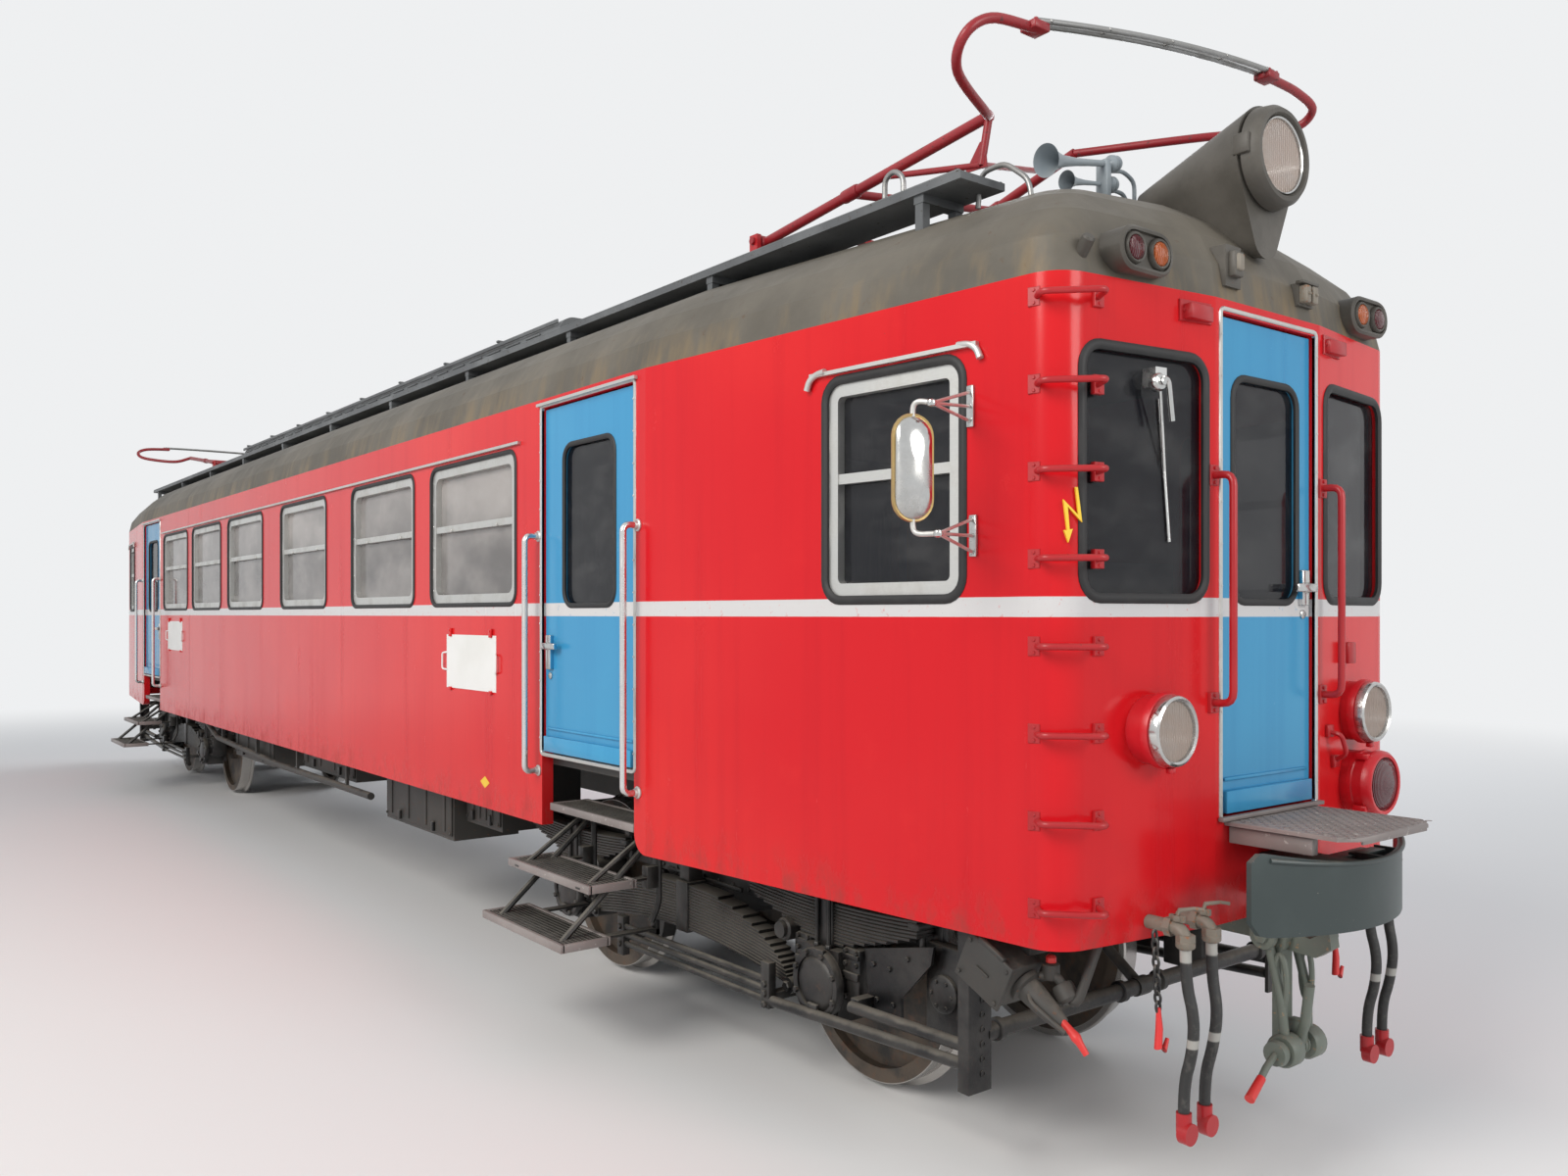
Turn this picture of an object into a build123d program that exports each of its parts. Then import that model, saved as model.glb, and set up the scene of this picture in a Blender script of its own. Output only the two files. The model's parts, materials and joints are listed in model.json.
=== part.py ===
from build123d import *
import math
import os

# Narrow-gauge electric motor coach with two cabs, standing on its wheels.
# Millimetres. X runs forward along the car, Y to the car's left, Z up.
# The origin is at the middle of the car, at the height of the wheel flanges' lowest point.
# The two ends are alike: the rear end is the front end turned half a turn about Z.

os.makedirs("parts", exist_ok=True)

# Body
half_length = 7700
half_width = 1220
kink_x = 5535  # the sides run straight up to here, then draw in towards the cab corner
corner_x = 7610
corner_y = 1020
facet_y = 330  # half width of the flat middle of the end wall
corner_radius = 130
wall = 60
skirt_z = 910
skirt_corner = 90  # rounding of the skirt ahead of each side door
floor_z = 1265
floor_thickness = 60
eaves_z = 3000
pane = 8
fit = 0.3  # gap all round a pane, frame or fitting in its seat

# Roof
roof_rise = 500
roof_side_run = 880  # how far the roof's curve reaches in from the side
roof_end_run = 700
roof_wall = 40
roof_angles = (0, 14, 28, 41, 54, 67, 79)

# Windows: centres along the saloon, all of one size
window_centres = (3700, 2300, 615, -1045, -2440, -3790)
window_width = 1126
window_z = 2000
window_height = 780
window_radius = 70
frame_bar = 55
frame_depth = 34
transom_drop = 350
cab_window_x = 6930
cab_window_width = 624
windscreen_y = 650
windscreen_width = 540

# Doors
door_centre_x = 5000
door_width = 880
door_top_z = 2955
door_gap = 8
door_leaf = 40
door_recess = 18
door_window_width = 480
door_window_z = 1990
door_window_height = 760
end_door_width = 590
end_door_window_width = 400

# Running gear
bogie_x = 5220
wheelbase = 2100
tread_radius = 450
flange_height = 27
wheel_back_y = 463
wheel_width = 120
rim_thickness = 60
web_thickness = 26
axle_radius = 68
journal_radius = 50
journal_y = 800
axle_z = tread_radius + flange_height
sideframe_y = 690
sideframe_thickness = 30
bogie_half_length = 1550
bogie_top_z = 860
motor_radius = 230
motor_length = 560
motor_offset = 360  # from the axle to the motor's shaft
running_fit = 0.08

# Leaf springs
leaf_thickness = 12
leaf_pitch = 14
leaf_width = 90
spring_y = 780

# Roof gear
walkway_y = 720
walkway_width = 230
walkway_half_length = 7020
walkway_z = 3478
walkway_thickness = 28
cover_front_x = 3200
cover_rear_x = -4300
cover_width = 860
cover_top_z = 3800
collector_pivot_x = 5350
collector_pivot_z = 3720
collector_tube = 45
insulator_x = (5900, 4520)
insulator_foot_z = (3481.4, 3491.1)  # just above the roof skin at each place
insulator_y = 540
lamp_z = 3532
lamp_radius = 165


def end_outline(side_inset, end_inset):
    """Corner points of the car's plan, all round, drawn in from the wall by the two insets."""
    facet = facet_y * (corner_y - side_inset) / corner_y
    quarter = (
        (half_length - end_inset, facet),
        (corner_x - end_inset, corner_y - side_inset),
        (kink_x - end_inset / 4, half_width - side_inset),
    )
    left = list(quarter) + [(-x, y) for x, y in reversed(quarter)]
    return left + [(-x, -y) for x, y in left]


def plan_sketch(height, side_inset=0, end_inset=0, radius=corner_radius):
    """A filled plan of the car at one height, with rounded cab corners."""
    with BuildSketch(Plane.XY.offset(height)) as plan:
        with BuildLine():
            Polyline(*end_outline(side_inset, end_inset), close=True)
        make_face()
        corner_line = corner_x - end_inset
        corners = plan.vertices().filter_by(lambda v: abs(abs(v.X) - corner_line) < 1)
        fillet(corners, radius)
    return plan.sketch


def add_rod(points, diameter, bend=0):
    """Sweep a round rod through the points into the part being built."""
    with BuildLine() as route:
        if len(points) > 2:
            FilletPolyline(*points, radius=bend)
        else:
            Line(*points)
    with BuildSketch(Plane(origin=route.line @ 0, z_dir=route.line % 0)) as section:
        Circle(diameter / 2)
    sweep(section.sketch, path=route.line)


def cut_side_window(centre_x, width, base_z, height, radius, mode=Mode.SUBTRACT, y=0, depth=3000):
    """Extrude a rounded rectangle across the car, to cut a window or to fill one."""
    with BuildSketch(Plane.XZ.offset(-y)) as opening:
        with Locations((centre_x, base_z + height / 2)):
            RectangleRounded(width, height, radius)
    extrude(opening.sketch, amount=depth, both=True, mode=mode)


def cab_wall_plane(side):
    """Plane on the outside of a tapering cab side, centred on the cab window, normal outwards."""
    slope = (corner_y - half_width) / (corner_x - kink_x)
    middle = (cab_window_x, side * (half_width + slope * (cab_window_x - kink_x)), window_z + window_height / 2)
    return Plane(origin=middle, x_dir=(-side, -slope, 0), z_dir=(-slope, side, 0))


def end_wall_plane(side):
    """Plane on the outside of an end wall's slanted face, centred on the windscreen, normal outwards."""
    slope = (half_length - corner_x) / (corner_y - facet_y)
    middle = (half_length - slope * (windscreen_y - facet_y), side * windscreen_y, window_z + window_height / 2)
    return Plane(origin=middle, x_dir=(-side * slope, 1, 0), z_dir=(1, side * slope, 0))


def fill_window(plane, width, start, end, mode=Mode.ADD, shrink=0):
    """Extrude a window's outline between two distances from its plane, drawn in by shrink all round."""
    with BuildSketch(plane.offset(start)) as outline:
        RectangleRounded(width - 2 * shrink, window_height - 2 * shrink, max(window_radius - shrink, 20))
    extrude(outline.sketch, amount=end - start, mode=mode)


def turn_to_rear(front):
    """Add the same thing at the rear end, half a turn about Z, to the part being built."""
    add(front, rotation=(0, 0, 180))


# Hinges: each has a pin with a knuckle above and below on the wall, and one knuckle on the leaf between them
hinge_levels = (1480, 2740)
hinge_inset = 14  # from the leaf's inner face in to the pin
knuckle_radius = 8
knuckle_length = 50
knuckle_gap = 1
pin_radius = 4
side_hinge = (door_centre_x + door_width / 2 - door_gap + 2, half_width - door_recess - door_leaf - hinge_inset)
end_hinge = (half_length - door_recess - door_leaf - hinge_inset, -end_door_width / 2 + door_gap - 2)
flap_width = 45
wall_flap = door_recess + door_leaf + hinge_inset - wall  # thickness that reaches from the pin to the wall


def wall_hinges(place, flap_x, flap_y):
    """Wall knuckles, pin and flap of one hinge line, added to the part being built."""
    step = knuckle_length + knuckle_gap
    for level in hinge_levels:
        with Locations((*place, level)):
            Cylinder(pin_radius, 2 * step)
        with Locations((*place, level - step), (*place, level + step)):
            Cylinder(knuckle_radius, knuckle_length)
        with Locations((place[0] + flap_x / 2, place[1] + flap_y / 2, level - step)):
            Box(abs(flap_x), abs(flap_y), knuckle_length)
        with Locations((place[0] + flap_x / 2, place[1] + flap_y / 2, level + step)):
            Box(abs(flap_x), abs(flap_y), knuckle_length)


def leaf_hinges(place, flap_x, flap_y):
    """Leaf knuckle and flap of one hinge line, bored for the pin, added to the part being built."""
    for level in hinge_levels:
        with Locations((*place, level)):
            Cylinder(knuckle_radius, knuckle_length)
        with Locations((place[0] + flap_x / 2, place[1] + flap_y / 2, level)):
            Box(abs(flap_x), abs(flap_y), knuckle_length)
        with Locations((*place, level)):
            Cylinder(pin_radius + running_fit, 2 * knuckle_length, mode=Mode.SUBTRACT)


# Cab shells: the tapering sides and three-faced end wall, from the skirt to the eaves
with BuildPart() as cab_front:
    extrude(plan_sketch(skirt_z), amount=eaves_z - skirt_z)
    inside = plan_sketch(skirt_z, wall, wall, corner_radius - wall)
    extrude(inside, amount=eaves_z - skirt_z, mode=Mode.SUBTRACT)
    split(bisect_by=Plane.YZ.offset(kink_x), keep=Keep.TOP)
    for side in (1, -1):
        fill_window(cab_wall_plane(side), cab_window_width, -200, 200, Mode.SUBTRACT)
        fill_window(end_wall_plane(side), windscreen_width, -200, 200, Mode.SUBTRACT)
    with Locations((half_length, 0, (floor_z + door_top_z) / 2)):
        Box(400, end_door_width, door_top_z - floor_z, mode=Mode.SUBTRACT)
    wall_hinges(end_hinge, wall_flap, -flap_width)

with BuildPart() as cab_rear:
    add(cab_front.part, rotation=(0, 0, 180))

# Saloon sides with six windows and two doorways each; the skirt is open under each door
with BuildPart() as side_left:
    with BuildSketch(Plane.XY.offset(skirt_z)):
        with Locations((0, half_width - wall / 2)):
            Rectangle(2 * kink_x, wall)
    extrude(amount=eaves_z - skirt_z)
    for centre in window_centres:
        cut_side_window(centre, window_width, window_z, window_height, window_radius)
    with BuildSketch(Plane.XZ):
        with Locations((door_centre_x, (skirt_z + door_top_z) / 2), (-door_centre_x, (skirt_z + door_top_z) / 2)):
            Rectangle(door_width, door_top_z - skirt_z)
    extrude(amount=3000, both=True, mode=Mode.SUBTRACT)
    corners = side_left.edges().filter_by(Axis.Y).filter_by(
        lambda e: e.center().Z < skirt_z + 1 and abs(abs(e.center().X) - door_centre_x - door_width / 2) < 1)
    fillet(corners, skirt_corner)
    wall_hinges(side_hinge, flap_width, wall_flap)
    wall_hinges((-side_hinge[0], side_hinge[1]), -flap_width, wall_flap)

with BuildPart() as side_right:
    add(mirror(side_left.part, about=Plane.XZ, mode=Mode.PRIVATE))

# Roof: a hollow dome whose outline draws in along a quarter ellipse
def dome_sections(depth):
    """Plans of the roof's surface at the chosen angles, a given depth inside the outer skin."""
    sections = []
    for angle in roof_angles:
        inset = 1 - math.cos(math.radians(angle))
        rise = (roof_rise - depth) * math.sin(math.radians(angle))
        side = depth + (roof_side_run - depth) * inset
        end = depth + (roof_end_run - depth) * inset
        sections.append(plan_sketch(eaves_z + rise, side, end, corner_radius - depth + 60 * inset))
    return sections


with BuildPart() as roof:
    loft(dome_sections(0), ruled=True)
    loft(dome_sections(roof_wall), ruled=True, mode=Mode.SUBTRACT)

# Solid outline of the whole body, a fit larger, used only to trim what is fastened to its skin
with BuildPart() as body_solid:
    extrude(plan_sketch(skirt_z, -fit, -fit, corner_radius + fit), amount=eaves_z - skirt_z)
    loft(dome_sections(-fit), ruled=True)

# Underframe: floor, sills, cross members, bolsters and the drawbar beams
sill_z = floor_z - floor_thickness - 90
headstock_x = half_length - 260
drawbar_z = 850
with BuildPart() as underframe:
    extrude(plan_sketch(floor_z - floor_thickness, wall, wall, corner_radius - wall), amount=floor_thickness)
    with Locations((0, 420, sill_z + 45), (0, -420, sill_z + 45)):
        Box(2 * half_length - 500, 70, 90)
    cross_places = [(x, 0, sill_z + 45) for x in range(-3600, 3601, 1200)]
    with Locations(*cross_places):
        Box(60, 2 * (half_width - wall), 90)
    for side in (1, -1):
        with Locations((side * bogie_x, 0, sill_z + 35)):
            Box(460, 1500, 110)
        with Locations((side * bogie_x, 0, sill_z - 45)):
            Cylinder(150, 50)
        with Locations((side * headstock_x, 0, sill_z - 10)):
            Box(120, 1600, 200)
        with Locations((side * headstock_x, 0, drawbar_z + 35)):
            Box(120, 180, sill_z - 110 - drawbar_z - 35, align=(Align.CENTER, Align.CENTER, Align.MIN))

# Window frames: aluminium rims with a transom, inside the openings, and their panes
with BuildPart() as cab_rims:
    for side in (1, -1):
        wall_plane = cab_wall_plane(side)
        fill_window(wall_plane, cab_window_width, -frame_depth - 6, -6, Mode.ADD, fit)
        fill_window(wall_plane, cab_window_width, -frame_depth - 6, -6, Mode.SUBTRACT, frame_bar)
        with Locations(wall_plane.offset(-frame_depth / 2 - 6)):
            with Locations((0, window_height / 2 - transom_drop)):
                Box(cab_window_width - 2 * frame_bar, 36, frame_depth - 8)

with BuildPart() as cab_panes:
    for side in (1, -1):
        back = -frame_depth - 6 - fit
        fill_window(cab_wall_plane(side), cab_window_width, back - pane, back, Mode.ADD, fit)
        fill_window(end_wall_plane(side), windscreen_width, -30, -30 + pane, Mode.ADD, fit)

saloon_frame_y = half_width - frame_depth / 2 - 6
saloon_glass_y = half_width - frame_depth - 6 - pane / 2 - fit
with BuildPart() as window_frames:
    for side in (1, -1):
        for centre in window_centres:
            cut_side_window(centre, window_width - 2 * fit, window_z + fit, window_height - 2 * fit,
                            window_radius - fit, Mode.ADD, side * saloon_frame_y, frame_depth / 2)
        rim = 2 * (fit + frame_bar)
        for centre in window_centres:
            cut_side_window(centre, window_width - rim, window_z + rim / 2, window_height - rim,
                            window_radius - 20, Mode.SUBTRACT, side * saloon_frame_y, frame_depth)
        transoms = [(x, side * saloon_frame_y, window_z + window_height - transom_drop) for x in window_centres]
        with Locations(*transoms):
            Box(window_width - rim, frame_depth - 8, 36)
    for turn in (0, 180):
        add(cab_rims.part, rotation=(0, 0, turn))

with BuildPart() as window_glass:
    for side in (1, -1):
        for centre in window_centres:
            cut_side_window(centre, window_width - 2 * fit, window_z + fit, window_height - 2 * fit,
                            window_radius - fit, Mode.ADD, side * saloon_glass_y, pane / 2)
    for turn in (0, 180):
        add(cab_panes.part, rotation=(0, 0, turn))

# Rain gutters: one along the saloon windows, short ones over the doors and cab windows
gutter_z = 2815
with BuildPart() as window_gutters:
    for side in (1, -1):
        gutter_y = side * (half_width + 9 + fit)
        with Locations(((window_centres[0] + window_centres[-1]) / 2, gutter_y, gutter_z)):
            Box(window_centres[0] - window_centres[-1] + window_width + 120, 18, 14)
        for x in (door_centre_x, -door_centre_x):
            with Locations((x, gutter_y, door_top_z + 16)):
                Box(door_width + 60, 18, 14)
        for turn in (0, 180):
            gutter_place = cab_wall_plane(side).offset(9 + fit)
            with Locations(Location((0, 0, 0), (0, 0, turn))):
                with Locations(gutter_place):
                    with Locations((0, gutter_z - window_z - window_height / 2)):
                        Box(cab_window_width + 140, 14, 18)

# Doors: the leaf swings inwards on its inner edge
leaf_height = door_top_z - floor_z - 2 * door_gap
leaf_middle_z = (floor_z + door_top_z) / 2
leaf_y = half_width - door_recess - door_leaf / 2
with BuildPart() as side_door:
    with Locations((door_centre_x, leaf_y, leaf_middle_z)):
        Box(door_width - 2 * door_gap, door_leaf, leaf_height)
    cut_side_window(door_centre_x, door_window_width, door_window_z, door_window_height, window_radius)
    leaf_hinges(side_hinge, -flap_width, hinge_inset)
    with Locations((door_centre_x - door_width / 2 + 70, leaf_y + door_leaf / 2, 1760)):
        Box(40, 16, 160, align=(Align.CENTER, Align.MIN, Align.CENTER))
    with Locations((door_centre_x - door_width / 2 + 110, leaf_y + door_leaf / 2 + 34, 1790)):
        Box(130, 14, 22)
    with Locations((door_centre_x - door_width / 2 + 70, leaf_y + door_leaf / 2 + 20, 1790)):
        Box(22, 42, 22)

with BuildPart() as side_door_pane:
    cut_side_window(door_centre_x, door_window_width - 2 * fit, door_window_z + fit, door_window_height - 2 * fit,
                    window_radius - fit, Mode.ADD, leaf_y, pane / 2)

end_leaf_x = half_length - door_recess - door_leaf / 2
with BuildPart() as end_door:
    with Locations((end_leaf_x, 0, leaf_middle_z)):
        Box(door_leaf, end_door_width - 2 * door_gap, leaf_height)
    with BuildSketch(Plane.YZ.offset(end_leaf_x - door_leaf)):
        with Locations((0, door_window_z + door_window_height / 2)):
            RectangleRounded(end_door_window_width, door_window_height, window_radius)
    extrude(amount=2 * door_leaf, mode=Mode.SUBTRACT)
    leaf_hinges(end_hinge, hinge_inset, flap_width)
    with Locations((end_leaf_x + door_leaf / 2 + 8, end_door_width / 2 - 60, 2040)):
        Box(16, 40, 120)
    with Locations((end_leaf_x + door_leaf / 2 + 30, end_door_width / 2 - 90, 2040)):
        Box(14, 110, 20)
    with Locations((end_leaf_x + door_leaf / 2 + 20, end_door_width / 2 - 60, 2040)):
        Box(32, 20, 20)

with BuildPart() as end_door_pane:
    with BuildSketch(Plane.YZ.offset(end_leaf_x - pane / 2)):
        with Locations((0, door_window_z + door_window_height / 2)):
            RectangleRounded(end_door_window_width - 2 * fit, door_window_height - 2 * fit, window_radius - fit)
    extrude(amount=pane)

# Wheelsets: one axle with two flanged disc wheels
wheel_front_y = wheel_back_y + wheel_width
web_y = wheel_back_y + 78
half_wheelset = (
    (0, 0), (0, axle_radius), (wheel_back_y - 10, axle_radius), (wheel_back_y - 10, 110),
    (web_y - web_thickness, 110), (web_y - web_thickness, tread_radius - rim_thickness),
    (wheel_back_y, tread_radius - rim_thickness), (wheel_back_y, axle_z - 6), (wheel_back_y + 8, axle_z),
    (wheel_back_y + 18, axle_z), (wheel_back_y + 32, tread_radius), (wheel_front_y, tread_radius),
    (wheel_front_y, tread_radius - rim_thickness), (web_y, tread_radius - rim_thickness), (web_y, 110),
    (wheel_front_y + 10, 100), (wheel_front_y + 10, journal_radius), (journal_y, journal_radius), (journal_y, 0),
)
wheelsets = {}
for name, axle_x in (
    ("wheelset_1", bogie_x + wheelbase / 2),
    ("wheelset_2", bogie_x - wheelbase / 2),
    ("wheelset_3", -bogie_x + wheelbase / 2),
    ("wheelset_4", -bogie_x - wheelbase / 2),
):
    with BuildPart() as wheelset:
        with BuildSketch(Plane(origin=(axle_x, 0, axle_z), x_dir=(0, 1, 0), z_dir=(1, 0, 0))):
            with BuildLine():
                Polyline(*half_wheelset, close=True)
            make_face()
        revolve(axis=Axis((axle_x, 0, axle_z), (0, 1, 0)))
        mirror(about=Plane.XZ)
    wheelsets[name] = wheelset

# Bogie frames, drawn about the front bogie's centre
axle_places = (wheelbase / 2, -wheelbase / 2)
box_half_width = 105
box_half_height = 140
box_outer_y = 850
pedestal_z = axle_z - 110
bolster_top_z = sill_z - 70 - fit
with BuildPart() as bogie_frame_front:
    for side in (1, -1):
        with BuildSketch(Plane.XZ.offset(-side * sideframe_y)):
            with Locations((bogie_x, bogie_top_z - 90)):
                Rectangle(2 * bogie_half_length, 180)
            for axle in axle_places:
                for leg in (1, -1):
                    with Locations((bogie_x + axle + leg * (box_half_width + 30), (pedestal_z + bogie_top_z - 90) / 2)):
                        Rectangle(60, bogie_top_z - 90 - pedestal_z)
        extrude(amount=sideframe_thickness / 2, both=True)
    between = 2 * sideframe_y - sideframe_thickness
    with Locations((bogie_x + 230, 0, bogie_top_z - 100), (bogie_x - 230, 0, bogie_top_z - 100)):
        Box(80, between, 160)
    ends = bogie_half_length - 30
    with Locations((bogie_x + ends, 0, bogie_top_z - 50), (bogie_x - ends, 0, bogie_top_z - 50)):
        Box(60, between, 90)
    with Locations((bogie_x, 0, bogie_top_z + 45)):
        Box(320, 2 * spring_y + 90, 90)
    with Locations((bogie_x, 0, bogie_top_z + 90)):
        Cylinder(140, bolster_top_z - bogie_top_z - 90, align=(Align.CENTER, Align.CENTER, Align.MIN))
    for axle in axle_places:
        inward = -math.copysign(1, axle)
        motor_x = bogie_x + axle + inward * motor_offset
        with Locations((motor_x, 0, axle_z + 40)):
            Cylinder(motor_radius, motor_length, rotation=(90, 0, 0))
        with Locations((motor_x + inward * 200, 0, bogie_top_z - 110)):
            Box(260, 300, 60)
        for side in (1, -1):
            with Locations((bogie_x + axle + inward * 60, side * (motor_length / 2 - 50), axle_z)):
                Box(300, 90, 220)
            with Locations((bogie_x + axle, side * (motor_length / 2 - 50), axle_z)):
                Cylinder(axle_radius + running_fit, 100, rotation=(90, 0, 0), mode=Mode.SUBTRACT)
            with Locations((bogie_x + axle, side * (sideframe_y + box_outer_y) / 2, axle_z)):
                Box(2 * box_half_width, box_outer_y - sideframe_y, 2 * box_half_height)
            with Locations((bogie_x + axle, side * (box_outer_y + 12), axle_z)):
                Cylinder(140, 24, rotation=(90, 0, 0))
            with Locations((bogie_x + axle, side * journal_y / 2, axle_z)):
                Cylinder(journal_radius + running_fit, journal_y + 1, rotation=(90, 0, 0), mode=Mode.SUBTRACT)

# Guard ahead of the outer wheels: two posts, a cross tube and two long bars down each side
guard_x = bogie_x + 1940
guard_y = 910
bar_z = (390, 300)
with BuildPart() as bogie_guard_front:
    for side in (1, -1):
        with Locations((guard_x, side * guard_y, 600)):
            Box(60, 60, 560)
        for height in bar_z:
            add_rod(((bogie_x - 550, side * guard_y, height), (guard_x - 30, side * guard_y, height)), 45)
        for place in (-520, 735):
            with Locations((bogie_x + place, side * guard_y, 480)):
                Box(50, 30, 420)
        for place in (-520, 735):
            with Locations((bogie_x + place, side * (sideframe_y + 15 + guard_y - 15) / 2, 660)):
                Box(50, guard_y - 15 - sideframe_y - 15, 60)
        with Locations((guard_x, side * (guard_y - 30 + 500) / 2, 820)):
            Box(50, guard_y - 30 - 500, 50)
        with Locations((bogie_x + bogie_half_length, side * 525, 820)):
            Box(guard_x - 25 - bogie_x - bogie_half_length, 50, 50, align=(Align.MIN, Align.CENTER, Align.CENTER))
    add_rod(((guard_x, -guard_y + 30, bar_z[0]), (guard_x, guard_y - 30, bar_z[0])), 60)

# Leaf springs: four upright ones over the axle boxes and one inverted one on each side
def add_spring(centre_x, centre_y, buckle_z, half_span, leaves, droop, turned):
    """Stack leaves of falling length on a main leaf, with a buckle round the middle."""
    way = -1 if turned else 1
    with BuildSketch(Plane.XZ.offset(-centre_y)) as stack:
        for number in range(leaves):
            reach = half_span * (1 - 0.9 * number / leaves)
            level = buckle_z - way * number * leaf_pitch
            bow = way * droop * (reach / half_span) ** 2
            with BuildLine():
                low = ThreePointArc((centre_x - reach, level + bow), (centre_x, level), (centre_x + reach, level + bow))
                top = ThreePointArc((centre_x - reach, level + bow + leaf_thickness), (centre_x, level + leaf_thickness),
                                    (centre_x + reach, level + bow + leaf_thickness))
                Line(low @ 0, top @ 0)
                Line(low @ 1, top @ 1)
            make_face()
    extrude(stack.sketch, amount=leaf_width / 2, both=True)
    middle = buckle_z + leaf_thickness / 2 - way * (leaves - 1) * leaf_pitch / 2
    with Locations((centre_x, centre_y, middle)):
        Box(70, leaf_width + 20, leaves * leaf_pitch + 24)


primary_top_z = axle_z + box_half_height + 167  # puts the buckle down on the axle box
main_leaf_z = 440
with BuildPart() as bogie_springs_front:
    for side in (1, -1):
        for axle in axle_places:
            add_spring(bogie_x + axle, side * spring_y, primary_top_z, 485, 12, 24, False)
            for tip in (480, -480):
                with Locations((bogie_x + axle + tip, side * (sideframe_y + 15), 826)):
                    Box(46, 110, 34, align=(Align.CENTER, Align.MIN if side > 0 else Align.MAX, Align.MIN))
                with Locations((bogie_x + axle + tip, side * spring_y, primary_top_z)):
                    Cylinder(15, 50, align=(Align.CENTER, Align.CENTER, Align.MIN))
                with Locations((bogie_x + axle + tip, side * spring_y, primary_top_z + 26)):
                    Box(60, leaf_width + 12, 26, align=(Align.CENTER, Align.CENTER, Align.MAX))
        add_spring(bogie_x, side * spring_y, main_leaf_z, 720, 13, -30, True)
        pillar_bottom = main_leaf_z + leaf_thickness / 2 + 6 * leaf_pitch + 13 * leaf_pitch / 2 + 12
        with Locations((bogie_x, side * spring_y, pillar_bottom)):
            Box(80, 80, bogie_top_z - pillar_bottom, align=(Align.CENTER, Align.CENTER, Align.MIN))

bogies = {}
for name, front in (
    ("bogie_frame", bogie_frame_front),
    ("bogie_guard", bogie_guard_front),
    ("bogie_springs", bogie_springs_front),
):
    with BuildPart() as rear:
        turn_to_rear(front.part)
    bogies[name + "_front"] = front
    bogies[name + "_rear"] = rear

# Roof walkways on brackets, resistor cover on the middle
with BuildPart() as walkways:
    for side in (1, -1):
        with Locations((0, side * walkway_y, walkway_z + walkway_thickness / 2)):
            Box(2 * walkway_half_length, walkway_width, walkway_thickness)
        for place in range(-6800, 6801, 1360):
            with Locations((place, side * walkway_y, walkway_z)):
                Box(50, walkway_width - 20, 30, align=(Align.CENTER, Align.CENTER, Align.MAX))
            for leg in (85, -85):
                with Locations((place, side * walkway_y + leg, walkway_z)):
                    Box(40, 36, 240, align=(Align.CENTER, Align.CENTER, Align.MAX))
    add(body_solid.part, mode=Mode.SUBTRACT)

cover_length = cover_front_x - cover_rear_x
with BuildPart() as resistor_cover:
    with BuildSketch(Plane.YZ.offset(cover_rear_x)):
        with Locations((0, cover_top_z - 150)):
            RectangleRounded(cover_width, 300, 110)
        with Locations((0, 3540)):
            Rectangle(cover_width - 120, 140)
    extrude(amount=cover_length)
    add(body_solid.part, mode=Mode.SUBTRACT)

# Collector: base on insulators, and a tube frame with a lyre bow
base_z = collector_pivot_z - 90
with BuildPart() as collector_bases:
    for x, foot_z in zip(insulator_x, insulator_foot_z):
        for side in (1, -1):
            with Locations((x, side * insulator_y, foot_z)):
                Cylinder(34, base_z - foot_z - 15, align=(Align.CENTER, Align.CENTER, Align.MIN))
            for rib in (40, 75, 110):
                with Locations((x, side * insulator_y, base_z - rib)):
                    Cylinder(62, 16)
    for side in (1, -1):
        with Locations(((insulator_x[0] + insulator_x[1]) / 2, side * insulator_y, base_z - 10)):
            Box(insulator_x[0] - insulator_x[1] + 120, 60, 20)
        with Locations((collector_pivot_x, side * (insulator_y - 40), base_z)):
            Box(60, 24, 120, align=(Align.CENTER, Align.CENTER, Align.MIN))
        with Locations((collector_pivot_x, side * (insulator_y - 40), base_z + 90)):
            Cylinder(17 + running_fit, 60, rotation=(90, 0, 0), mode=Mode.SUBTRACT)
    for x in insulator_x:
        with Locations((x, 0, base_z - 10)):
            Box(50, 2 * insulator_y - 60, 20)
    turn_to_rear(collector_bases.part)

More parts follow.
